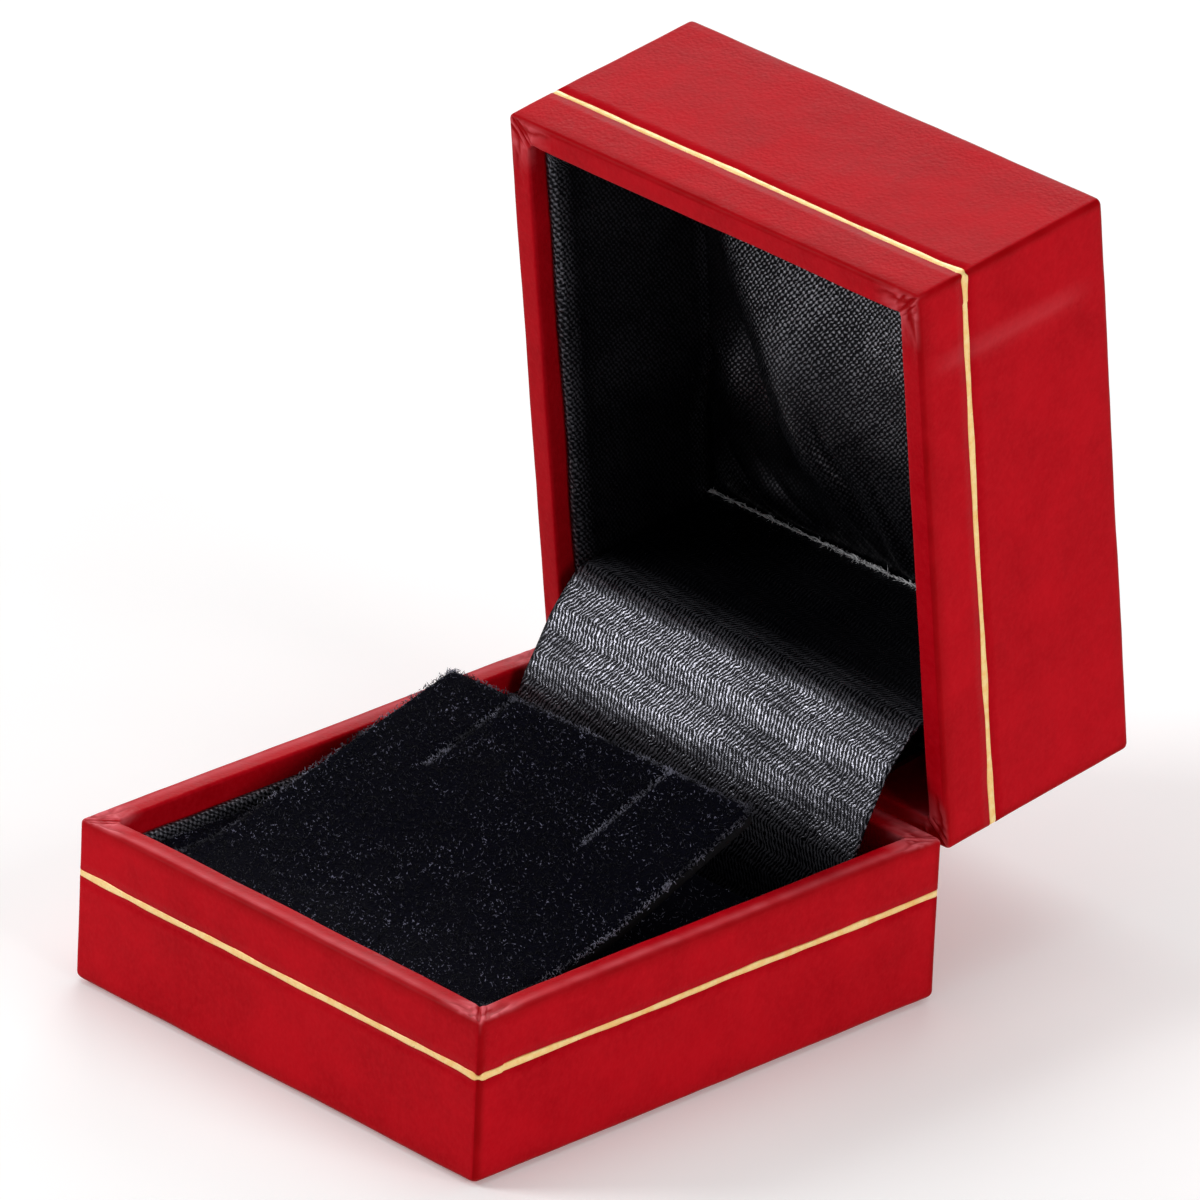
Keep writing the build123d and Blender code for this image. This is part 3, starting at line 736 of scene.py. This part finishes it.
def make_liner(half, leaning, satin):
    """Satin folded over a wall card's edge and down three walls, in one strip.

    leaning is 1 where the strip stands off its walls at the closed end, and otherwise 0.
    """
    node = f"{half.body}_liner_satin"
    low, high = half.extent(node)
    outline = Outline(high[0], -low[1], rear=high[1])
    start, end = low[2], high[2] - (2.2 if leaning else 0.1)
    foot = end - LINER_ROLL
    lean = leaning * liner_lean(outline.at(0))
    radius = LINER_FACE / 2
    rows = [(0.06, start + depth) for depth in (2.6, 1.7, 0.9)]
    for t in np.radians(np.linspace(0, 180, 10)):
        rows.append((radius - (radius - 0.03) * cos(t), start + radius * (1 - sin(t))))
    for t in np.linspace(0, 1, 26)[1:]:
        depth = start + radius + (foot - start - radius) * t
        puff = 0.16 * bump(depth - start, 1.4, 0.6)
        rows.append((LINER_FACE + puff + lean * smooth(t * 1.02) ** 0.8, depth))
    for t in quarter(7)[1:]:
        inset = LINER_FACE + lean - leaning * (1 - cos(t)) * 0.8
        rows.append((inset, foot + LINER_ROLL * sin(t)))
    rings = [outline.ring(inset, depth, CORNER_RADIUS + inset) for inset, depth in rows]
    points = np.concatenate(rings)
    around = path_length(rings[len(rings) // 2])
    down = path_length(np.array([ring[outline.count // 2] for ring in rings]))
    uv = np.array([(a, d) for d in down for a in around])
    faces = grid_faces(len(rings), outline.count, flip=half is base)
    piece = make_mesh(f"{half.body}_lining", half.world(points), faces, satin, uv)
    nudge(piece, lambda spots: 0.1 * rumple(spots, 7, 8) + 0.05 * rumple(spots * (1, 1, 2.2), 3, 9))
    depths = points[:, 2]
    folded = smooth((start + 1.5 - depths) / 0.7) + leaning * smooth((depths - end + 2.6) / 0.8)
    # Painted shade over the lining, less at its fold over the card's edge and where it leans off at the
    # closed end, so the painted highlight shows there.
    mark(piece, "painted_shade", 0.8 - 0.5 * folded)
    thicken(piece, LINER_THICK)
    settle(piece, half.body, "black_satin", node)


liner_satin = make_satin("lining_satin", angle=62, pitch=0.35, shine=120, dash=1.25)
make_liner(lid, 1, liner_satin)
make_liner(base, 0, liner_satin)


# ---- lid ceiling ----

# The fold's crest: (across, along, how far it stands out)
CREST = np.array((
    (-17.0, -20.0, 1.2),
    (-15.0, -12.0, 2.0),
    (-12.8, -7.2, 2.6),
    (-9.2, -0.6, 3.0),
    (-4.8, 6.6, 2.6),
    (1.6, 13.6, 1.2),
    (4.6, 16.8, 0.2),
))
SIM_SCALE = 20.0
SIM_STEPS = 20
CLOTH = {
    "quality": 6,
    "mass": 0.3,
    "tension_stiffness": 12,
    "compression_stiffness": 12,
    "shear_stiffness": 6,
    "bending_stiffness": 0.4,
    "use_pressure": True,
    "uniform_pressure_force": 4,
    "shrink_min": -0.03,
}


def crest_distance(across, along):
    """Signed distance from the ceiling's fold, positive to its right, and the fold's height."""
    fine = np.linspace(0, len(CREST) - 1, 120)
    course = np.column_stack([np.interp(fine, range(len(CREST)), line) for line in CREST.T])
    spots, lifts = course[:, :2], course[:, 2]
    run = unit(np.gradient(spots, axis=0))
    gap = np.stack([across, along], -1)[:, None] - spots[None]
    nearest = (gap ** 2).sum(-1).argmin(1)
    chosen, way = gap[np.arange(len(across)), nearest], run[nearest]
    side = np.sign(chosen[:, 0] * way[:, 1] - chosen[:, 1] * way[:, 0])
    return side * np.linalg.norm(chosen, axis=1), lifts[nearest]


def ceiling_lift(across, along):
    """How far the ceiling satin stands out over its flat place."""
    apart, height = crest_distance(across, along)
    right = height * (1 - smooth(apart / 15)) * (1 + 0.12 * np.clip(apart, 0, 2.5))
    left = height * smooth(1 + apart / 2.6)
    lift = np.where(apart > 0, right, left)
    lift = lift + 1.3 * np.exp(-((across + 15.6) ** 2 / 7 + (along - 2.2) ** 2 / 16))
    lift = lift + 0.8 * np.exp(-((across + 12.5) ** 2 / 30 + (along - 13.4) ** 2 / 4))
    dome = smooth((along + 22) / 20) * smooth((16 - along) / 14) * smooth((across + 12) / 8)
    lift = lift + 1.4 * dome
    return lift


def ceiling_painted_light(across, along):
    """Where the ceiling satin gets painted highlight: most right of the fold and towards the front, and
    in two small patches on the left.
    """
    apart = crest_distance(across, along)[0]
    right = smooth((apart + 0.6) / 2.6)
    lit_share = right * (0.14 + 0.86 * smooth((-2 - along) / 9) + 0.14 * smooth((apart - 8) / 4))
    lit_share = lit_share + 0.4 * np.exp(-((across + 15.6) ** 2 + (along - 1.5) ** 2) / 9)
    return lit_share + 0.45 * np.exp(-((across + 18.5) ** 2 + (along - 14.5) ** 2) / 5)


def simulate(piece, held, cap):
    """Swells a closed pad by cloth simulation, and keeps each point within cap millimetres."""
    scene = bpy.context.scene
    start = spots_of(piece)
    group = piece.vertex_groups.new(name="held")
    for index in np.nonzero(held)[0]:
        group.add([int(index)], 1.0, "REPLACE")
    shift_to(piece, start * SIM_SCALE)
    cloth = piece.modifiers.new("cloth", "CLOTH")
    for key, value in CLOTH.items():
        setattr(cloth.settings, key, value)
    cloth.settings.vertex_group_mass = "held"
    cloth.settings.effector_weights.gravity = 0
    for step in range(1, SIM_STEPS + 1):
        scene.frame_set(step)
    settled = piece.evaluated_get(bpy.context.evaluated_depsgraph_get())
    swollen = spots_of(settled) / SIM_SCALE
    piece.modifiers.remove(cloth)
    scene.frame_set(1)
    move = swollen - start
    size = np.linalg.norm(move, axis=1)
    limit = cap * MM
    share = np.minimum(1, limit * np.tanh(size / limit) / np.maximum(size, 1e-12))
    shift_to(piece, start + move * share[:, None])


def make_ceiling():
    """The lid's padded satin ceiling, with its slack diagonal fold and painted highlights."""
    low, high = lid.extent("lid_ceiling_satin")
    high[1] += 0.15
    columns, rows = 110, 104
    across, along = np.linspace(low[0], high[0], columns), np.linspace(low[1], high[1], rows)
    flat = np.array([(a, u) for u in along for a in across])
    edge = np.minimum(flat - low[:2], high[:2] - flat).min(1)
    floor = high[2] - 0.02
    top = high[2] - 0.55 - ceiling_lift(*flat.T)
    front = np.column_stack([flat, floor - (floor - top) * (0.35 + 0.65 * smooth(edge / 1.6))])
    back = np.column_stack([flat, np.full(len(flat), floor)])
    faces = grid_faces(rows, columns, flip=True)
    faces += [tuple(i + len(flat) for i in f) for f in grid_faces(rows, columns)]
    rim = list(range(columns - 1))
    rim += [columns - 1 + i * columns for i in range(rows - 1)]
    rim += [rows * columns - 1 - i for i in range(columns - 1)]
    rim += [(rows - 1 - i) * columns for i in range(rows - 1)]
    faces += [(a, b, b + len(flat), a + len(flat)) for a, b in zip(rim, rim[1:] + rim[:1])]
    satin = make_satin("ceiling_satin", angle=40, pitch=0.36, shine=160, depth=0.12, dash=1.3,
                       sparse=0.46)
    uv = np.vstack([flat, flat])
    points = lid.world(np.vstack([front, back]))
    piece = make_mesh("lid_ceiling_pad", points, faces, satin, uv)
    # Painted shade over the ceiling, taken away where its painted light is strong.
    mark(piece, "painted_shade", 1 - ceiling_painted_light(*uv.T))
    held = np.concatenate([edge < 0.3, np.ones(len(flat), bool)])
    simulate(piece, held, cap=0.9)
    subdivide = piece.modifiers.new("smoother", "SUBSURF")
    subdivide.levels = subdivide.render_levels = 1
    settle(piece, "lid", "black_satin", "lid_ceiling_satin")


make_ceiling()


# ---- hinge cover and springs ----

COVER_THICK = 0.22
COVER_STEP = 0.36
COVER_RADII = (3.2, 30.0, 7.0)


def rounded_route(corners, radii, step):
    """Evenly spaced points along straight runs joined by tangent arcs, and their distances."""
    corners = [np.array(c, float) for c in corners]
    points = [corners[0]]
    for before, corner, after, radius in zip(corners, corners[1:], corners[2:], radii):
        a = (before - corner) / np.linalg.norm(before - corner)
        b = (after - corner) / np.linalg.norm(after - corner)
        half_turn = acos(max(-1, min(1, a @ b))) / 2
        reach = radius / tan(half_turn)
        middle = corner + (a + b) / np.linalg.norm(a + b) * radius / sin(half_turn)
        first, last = corner + a * reach - middle, corner + b * reach - middle
        whole = pi - 2 * half_turn
        for t in np.linspace(0, 1, max(4, int(radius * whole / step))):
            share = first * sin((1 - t) * whole) + last * sin(t * whole)
            points.append(middle + share / sin(whole))
    route = np.array([*points, corners[-1]])
    places = path_length(route)
    even = np.linspace(0, places[-1], int(places[-1] / step) + 1)
    return np.column_stack([np.interp(even, places, line) for line in route.T]), even


def make_cover():
    """Satin strip from the ceiling's seam, over the hinge in a roll, down into the base."""
    board_face = lid.extent("lid_hinge_board")[0][1] - 0.3
    ceiling = lid.extent("lid_ceiling_satin")[1][2]
    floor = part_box("hinge_cover")[0].z / MM + 0.1
    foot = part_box("base_floor_pad")[1].y / MM + 0.35
    seam, brow = lid.world([(0, board_face, ceiling - 0.3), (0, board_face, 0.6)])[:, 1:]
    knee = np.array([foot + 0.55, base.size[2] - 1.3])
    run = (knee - brow) / np.linalg.norm(knee - brow)
    crown = brow * 0.5 + knee * 0.5 + 0.8 * np.array([run[1], -run[0]])
    stations = (seam, brow, crown, knee, (foot, floor))
    route, along = rounded_route(stations, COVER_RADII, COVER_STEP)
    width = 2 * (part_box("hinge_cover")[1].x / MM - 0.1)
    across = np.linspace(-width / 2, width / 2, 100)
    points = np.array([(a, y, z) for y, z in route for a in across])
    uv = np.array([(a, s) for s in along for a in across])
    satin = make_satin("cover_satin", angle=8, pitch=0.4, chevron=0.5, gloss=0.24, shine=112,
                       depth=0.04, dash=2.3, broken=0.3)
    piece = make_mesh("hinge_cover_satin", points, grid_faces(len(along), len(across)), satin, uv)
    arc = uv[:, 1]

    def slack(spots):
        roll = smooth((arc - 15) / 4) * smooth((33 - arc) / 5)
        ridges = 0.06 * np.sin((arc - 17) * 2 * pi / 5.6)
        waver = rumple(spots * (0.35, 1, 1), 4.5, 11)
        return roll * (ridges + 0.22 * waver) + 0.06 * rumple(spots, 3, 12)

    nudge(piece, slack)
    # Painted shade on the flat run from the seam and on the lower part, so the painted highlight stays
    # on the roll.
    mark(piece, "painted_shade", smooth((16.2 - arc) / 3.4) + 0.6 * smooth((arc - 33) / 4))
    thicken(piece, COVER_THICK)
    settle(piece, None, "black_satin", "hinge_cover")
    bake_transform(piece)


def make_springs():
    """The bow springs, copied from their CAD meshes in plated steel."""
    for side in ("left", "right"):
        node = frame["nodes"][f"bow_spring_{side}"]
        piece = add_object(f"flexing_spring_{side}", node.data.copy())
        coat(piece, steel)
        settle(piece, None, "hinge_steel", node.name)
        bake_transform(piece)


make_cover()
make_springs()


# ---- velvet ----

# A pile sheet's thickness with its pile and without, and how far its edge is worn down
VELVET = 0.5
BACKING = 0.4
EDGE_DROP = 0.22
FLAP_CARD = 0.8
SLIT = 0.3

# The flap's fold: half the bend's length, where its card starts, and for the left and right
# edge how steep it gets over its mean slope and how far from the fold
FOLD_EASE = 0.9
ROOT_EASE = 0.3
CORE_START = 0.6
CURL_LEFT = (1.1, 9.0)
CURL_RIGHT = (1.57, 21.0)

# Fibres: (length, spread, radius), and frayed ones for each point of an edge
NAP = (0.45, 1.1, 0.045)
FRAY = (0.32, 0.9, 0.045)
FRAY_DENSITY = 12


def soft_slab(name, grid, shape, material=velvet, pile=VELVET, hole=None, corners=(), joined=None):
    """A sheet over a grid with worn-down edges, and the grid places along its edge.

    grid is (places across, places along), and shape turns (across, along, height) into
    millimetres in the shared frame. hole tells which cells are left out, and corners lists
    (middle, outward signs, radius) of the corners to round. joined tells which places of an edge
    meet another sheet, so that the pile isn't worn there.
    """
    flat = np.array([(a, u) for u in grid[1] for a in grid[0]])
    faces = grid_faces(len(grid[1]), len(grid[0]))
    if hole:
        faces = [face for face in faces if not hole(flat[list(face)].mean(0))]
    keep = np.unique(faces)
    edges = {}
    for face in faces:
        for a, b in zip(face, face[1:] + face[:1]):
            edges[frozenset((a, b))] = edges.get(frozenset((a, b)), 0) + 1
    rim = np.unique([tuple(edge) for edge, count in edges.items() if count == 1])
    if joined:
        rim = np.array([i for i in rim if not joined(flat[i])])
    away = np.array([np.abs(flat[rim] - flat[i]).max(1).min() for i in keep])
    for middle, sign, radius in corners:
        offset = (flat - middle) * sign
        inside = (offset > 0).all(1)
        size = np.linalg.norm(offset, axis=1)
        scale = np.where(inside, offset.max(1) / np.maximum(size, 1e-9), 1)
        flat = np.where(inside[:, None], middle + (flat - middle) * scale[:, None], flat)
    flat = flat[keep]
    height = pile - (EDGE_DROP if pile else 0) * np.exp(-((away / 0.28) ** 2))
    faces = np.searchsorted(keep, faces)
    piece = make_mesh(name, shape(*flat.T, height), faces, material, flat)
    if pile:
        nudge(piece, lambda spots: 0.05 * rumple(spots, 4.5, 21) + 0.02 * rumple(spots, 0.8, 22))
        thicken(piece, BACKING)
    return piece, flat[away < 0.01]


def card_slab(name, body, node, grid, shape, **cut):
    """The card under a pile sheet."""
    piece, _ = soft_slab(name, grid, shape, card, 0, **cut)
    thicken(piece, FLAP_CARD)
    settle(piece, body, "black_card", node)


def level_shape(top):
    def shape(across, along, height):
        return np.column_stack([across, along, top + height])
    return shape


def curled_shape(top, fold, rise, half_width):
    """Level before the fold, then curling up: soon on the left, later but more on the right."""
    steps = np.linspace(-FOLD_EASE, 34, 400)

    def side(steepest, reach):
        angles = rise * steepest * smooth((steps + FOLD_EASE) / reach)
        stride = np.diff(steps)
        run = np.concatenate([[0], np.cumsum(np.cos(angles[:-1]) * stride)]) - FOLD_EASE
        climb = np.concatenate([[0], np.cumsum(np.sin(angles[:-1]) * stride)])
        return angles, run, climb

    left, right = side(*CURL_LEFT), side(*CURL_RIGHT)

    def shape(across, along, height):
        share = np.clip((across + half_width) / (2 * half_width), 0, 1)
        turn, run, climb = (
            (1 - share) * np.interp(along, steps, a) + share * np.interp(along, steps, b)
            for a, b in zip(left, right)
        )
        run = np.where(along < -FOLD_EASE, along, run)
        return np.column_stack([
            across,
            fold + run - height * np.sin(turn),
            top + climb + height * np.cos(turn),
        ])

    return shape


def make_nap(name, roots, normals, looks, seed, material):
    """Short fibres, each a closed three-sided spike; looks is (length, spread, radius)."""
    length, spread, radius = looks
    rng = np.random.default_rng(seed)
    count = len(roots)
    lean = rng.normal(0, spread, (count, 3))
    way = unit(normals + lean)
    side = unit(np.cross(way, rng.normal(0, 1, (count, 3))))
    other = np.cross(way, side)
    reach = length * rng.uniform(0.5, 1.2, count)[:, None]
    points = []
    for turn in (0, 2 * pi / 3, 4 * pi / 3):
        points.append(roots - 0.1 * way + radius * (cos(turn) * side + sin(turn) * other))
    points.append(roots + reach * way)
    stacked = np.stack(points, 1).reshape(-1, 3)
    faces = []
    for k in range(0, 4 * count, 4):
        faces += [(k, k + 1, k + 3), (k + 1, k + 2, k + 3), (k + 2, k, k + 3), (k + 2, k + 1, k)]
    return make_mesh(name, stacked, faces, material)


def scatter(piece, count, seed):
    """Random points on a piece's faces, by area, with their normals, in millimetres."""
    mesh = piece.data
    mesh.calc_loop_triangles()
    corners = np.array([t.vertices for t in mesh.loop_triangles])
    a, b, c = (spots_of(piece)[corners[:, i]] / MM for i in range(3))
    normal = np.cross(b - a, c - a)
    area = np.linalg.norm(normal, axis=1)
    rng = np.random.default_rng(seed)
    chosen = rng.choice(len(area), count, p=area / area.sum())
    u, v = rng.random((2, count))
    fold = u + v > 1
    u, v = np.where(fold, 1 - u, u)[:, None], np.where(fold, 1 - v, v)[:, None]
    spots = a[chosen] * (1 - u - v) + b[chosen] * u + c[chosen] * v
    return spots, normal[chosen] / area[chosen][:, None]


def edge_roots(rim_line, shape, density, seed):
    """Points along a slab's edges, where frayed fibres grow."""
    rng = np.random.default_rng(seed)
    picks = rng.integers(0, len(rim_line), int(density * len(rim_line)))
    spots = rim_line[picks] + rng.normal(0, 0.17, (len(picks), 2))
    height = rng.uniform(0.1, VELVET, len(picks))
    return shape(spots[:, 0], spots[:, 1], height)


def cuts(*stretches):
    """Places along one axis: each stretch (start, end, step), closely set at both its ends."""
    places = []
    for start, end, step in stretches:
        near = [start, start + 0.12, start + 0.3, end - 0.3, end - 0.12, end]
        places += near + list(np.linspace(start + 0.6, end - 0.6, max(2, int((end - start) / step))))
    return np.unique(np.round(places, 4))


def make_velvets():
    """Velvet on the insert's side strips, the base's floor, the flap and its tongue."""
    strips_low, strips_high = box_mm("insert_velvet")
    tab_low, tab_high = box_mm("clip_tab_velvet")
    flap_high = box_mm("ring_flap_velvet")[1]
    fold_y, top = (c / MM for c in JOINTS["flap_fold"]["pos_m"][1:])
    tab_root = JOINTS["tab_flex"]["pos_m"]
    root_y, root_z = tab_root[1] / MM - fold_y, tab_root[2] / MM - top
    rise, root = atan2(root_z, root_y), hypot(root_y, root_z)
    end = (flap_high.y - fold_y) / cos(rise)
    half_flap, half_insert = flap_high.x, strips_high.x
    left, right = tab_low.x - SLIT / 2, tab_high.x + SLIT / 2
    level = level_shape(top)
    slope = curled_shape(top, fold_y, rise, half_flap)

    inner = half_flap + 0.3
    across = cuts((-half_insert, -inner, 0.5), (inner, half_insert, 0.5))
    strips, strip_rim = soft_slab(
        "side_strip_velvet", (across, cuts((strips_low.y, strips_high.y, 0.6))), level,
        hole=lambda c: abs(c[0]) < inner)
    settle(strips, "base", "black_velvet", "insert_velvet")

    pad_low, pad_high = box_mm("base_floor_velvet")
    grid = (cuts((pad_low.x, pad_high.x, 0.9)), cuts((pad_low.y, pad_high.y, 0.9)))
    floor, _ = soft_slab("floor_velvet", grid, level_shape(pad_low.z))
    settle(floor, "base", "black_velvet", "base_floor_velvet")

    ledge = strips_low.y - fold_y + 0.05
    across = cuts((-half_flap, left, 0.55), (left, right, 0.55), (right, half_flap, 0.55))
    along = np.union1d(cuts((ledge, root, 0.55), (root, end, 0.55)), np.linspace(-1.0, 1.0, 9))
    radius = 1.0
    cut = {
        "hole": lambda c: c[1] > root and left < c[0] < right,
        "corners": [
            (np.array([sign * (half_flap - radius), end - radius]), np.array([sign, 1]), radius)
            for sign in (-1, 1)
        ],
    }
    flap, flap_rim = soft_slab(
        "flap_velvet", (across, along), slope, **cut,
        joined=lambda p: abs(p[1] - root) < 0.01 and left + 0.05 < p[0] < right - 0.05)
    settle(flap, None, "black_velvet", "ring_flap_velvet")
    card_slab("flap_card", "ring_flap", "ring_flap_card", (across, along[along > ROOT_EASE]), slope,
              **cut)

    across = cuts((left + SLIT, right - SLIT, 0.55))
    tongue, tongue_rim = soft_slab("tab_velvet", (across, cuts((root + 0.02, end, 0.55))), slope,
                                   joined=lambda p: p[1] < root + 0.05)
    settle(tongue, None, "black_velvet", "clip_tab_velvet")
    grid = (across, cuts((root + CORE_START, end, 0.55)))
    card_slab("tab_card", "clip_tab", "clip_tab_card", grid, slope)

    def ride_base(piece):
        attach(piece, "base")

    def bend_flap(piece):
        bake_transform(piece)

    def bend_tab(piece):
        way = Vector((0, cos(rise), sin(rise))) * MM
        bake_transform(piece)

    for k, (sheet, rim, shape, count, fibre, join) in enumerate((
        (strips, strip_rim, level, 1500, nap, ride_base),
        (flap, flap_rim, slope, 13000, nap, bend_flap),
        (tongue, tongue_rim, slope, 3200, nap, bend_tab),
        (floor, (), level, 6000, frayed_pile, ride_base),
    )):
        pile = make_nap(sheet.name + "_nap", *scatter(sheet, count, 50 + k), NAP, 80 + k, fibre)
        settle(pile, None, "black_velvet")
        join(pile)
        if len(rim):
            roots = edge_roots(rim, shape, FRAY_DENSITY, 60 + k)
            up = np.tile((0, -0.2, 0.9), (len(roots), 1))
            fray = make_nap(sheet.name + "_fray", roots, up, FRAY, 90 + k, frayed_pile)
            settle(fray, None, "black_velvet")
            join(fray)
    bend_flap(flap)
    bend_tab(tongue)


make_velvets()


# ---- frayed seam ----

# The seam's depth under the ceiling's back, its strands and the points round each of them
SEAM_SINK = 0.75
STRANDS = 3
STRAND_SIDES = 6
SEAM_FRAY = (0.7, 0.5, 0.06)
SEAM_FRAYS = 420


def make_seam():
    """Pale frayed threads along the seam between the ceiling and the hinge cover."""
    low, high = lid.extent("lid_ceiling_satin")
    depth = high[2] - SEAM_SINK
    across = np.linspace(low[0] + 0.1, high[0] - 0.1, 220)
    flat = np.zeros_like(across)
    spots = np.column_stack([across, flat, flat])
    turns = 2 * pi * np.arange(STRAND_SIDES) / STRAND_SIDES
    round_thread = np.column_stack([0 * turns, np.cos(turns), np.sin(turns)])
    clump = 0.7 * bump(across, -1.0, 2.4) + 1.6 * bump(across, low[0] + 0.6, 0.4)
    points, faces = [], []
    for strand in range(STRANDS):
        drift, lift = rumple(spots, 1.3, 30 + strand), rumple(spots, 1.1, 40 + strand)
        twist = across * 2.4 + strand * 2 * pi / STRANDS
        centre = np.column_stack([
            across,
            high[1] + 0.05 + 0.09 * np.cos(twist) + 0.2 * drift,
            depth + 0.09 * np.sin(twist) + 0.2 * lift,
        ])
        thick = 0.06 * (1 + 0.5 * rumple(spots, 2.2, 44 + strand) + clump)
        first = len(points)
        points += list((centre[:, None] + thick[:, None, None] * round_thread).reshape(-1, 3))
        tube = grid_faces(len(across), STRAND_SIDES, loop_columns=True)
        faces += [tuple(i + first for i in face) for face in tube]
        faces += [tuple(range(first, first + STRAND_SIDES))[::-1]]
        faces += [tuple(range(len(points) - STRAND_SIDES, len(points)))]
    seam = make_mesh("seam_thread", lid.world(points), faces, thread)
    settle(seam, "lid", "black_satin")
    rng = np.random.default_rng(5)
    thick_spot = rng.normal(-1.5, 3.0, SEAM_FRAYS // 3)
    places = np.concatenate([rng.uniform(low[0], high[0], SEAM_FRAYS - len(thick_spot)), thick_spot])
    along = high[1] + rng.normal(0.05, 0.1, SEAM_FRAYS)
    roots = np.column_stack([places, along, depth + rng.normal(0, 0.1, SEAM_FRAYS)])
    sideways = rng.normal(0, 1.2, SEAM_FRAYS)
    ways = np.column_stack([sideways, rng.normal(0, 0.8, SEAM_FRAYS), np.full(SEAM_FRAYS, -0.7)])
    frays = make_nap("seam_fray", lid.world(roots), unit(ways) @ lid.axes, SEAM_FRAY, 90, thread)
    settle(frays, "lid", "black_satin")


make_seam()


# ---- stage ----

# Softboxes: (name, size in metres, power in watts, place in metres)
SOFTBOXES = (
    ("top_softbox", 0.8, 2.8, (-0.1, 0.1, 0.8)),
    ("front_left_softbox", 0.3, 3.6, (-0.55, -0.52, 0.45)),
    ("right_softbox", 0.5, 2.6, (0.75, 0.05, 0.35)),
    ("back_left_softbox", 0.45, 2.3, (-0.56, 0.62, 0.4)),
)
SOFTBOX_TARGET = Vector((0.0, 0.013, 0.032))

# The camera, fitted to the box's corners in the photo: degrees, metres and millimetres
AZIMUTH, ELEVATION, ROLL = (radians(a) for a in (44.95, 25.25, 2.56))
CAMERA_TARGET = Vector((-0.0036, 0.0131, 0.0320))
CAMERA_DISTANCE = 1.2045
CAMERA_LENS = 420.0
FLOOR_SIDE = 4000.0


def make_stage():
    """Pale floor, white surroundings, softboxes and the camera."""
    finish = Finish("pale_floor", Roughness=0.9, Specular_IOR_Level=0.1,
                    Emission_Color=(1, 1, 1, 1), Emission_Strength=0.12)
    grain = finish.noise(finish.place(), 40.0, 2.0)
    finish.feed("Base Color", finish.blend(grain, rgb(244, 244, 244), rgb(250, 250, 250)))
    corners = [(x * FLOOR_SIDE, y * FLOOR_SIDE, 0) for x, y in ((-1, -1), (1, -1), (1, 1), (-1, 1))]
    make_mesh("floor", corners, [(0, 1, 2, 3)], finish.material)

    scene = bpy.context.scene
    scene.view_settings.view_transform = "Standard"
    scene.world = bpy.data.worlds.new("surroundings")
    scene.world.use_nodes = True
    surroundings = scene.world.node_tree.nodes["Background"].inputs
    surroundings["Color"].default_value = (1, 1, 1, 1)
    surroundings["Strength"].default_value = 0.18
    for name, size, power, place in SOFTBOXES:
        data = bpy.data.lights.new(name, "AREA")
        data.size = size
        data.energy = power
        lamp = add_object(name, data)
        lamp.location = place
        lamp.rotation_euler = (SOFTBOX_TARGET - Vector(place)).to_track_quat("-Z", "Y").to_euler()

    back = Vector((
        sin(AZIMUTH) * cos(ELEVATION),
        -cos(AZIMUTH) * cos(ELEVATION),
        sin(ELEVATION),
    ))
    data = bpy.data.cameras.new("camera")
    data.sensor_width = 36.0
    data.lens = CAMERA_LENS
    data.clip_start, data.clip_end = 0.05, 20.0
    camera = add_object("camera", data)
    camera.location = CAMERA_TARGET + back * CAMERA_DISTANCE
    facing = (-back).to_track_quat("-Z", "Y").to_matrix()
    camera.rotation_euler = (facing @ Matrix.Rotation(ROLL, 3, "Z")).to_euler()
    scene.camera = camera


make_stage()
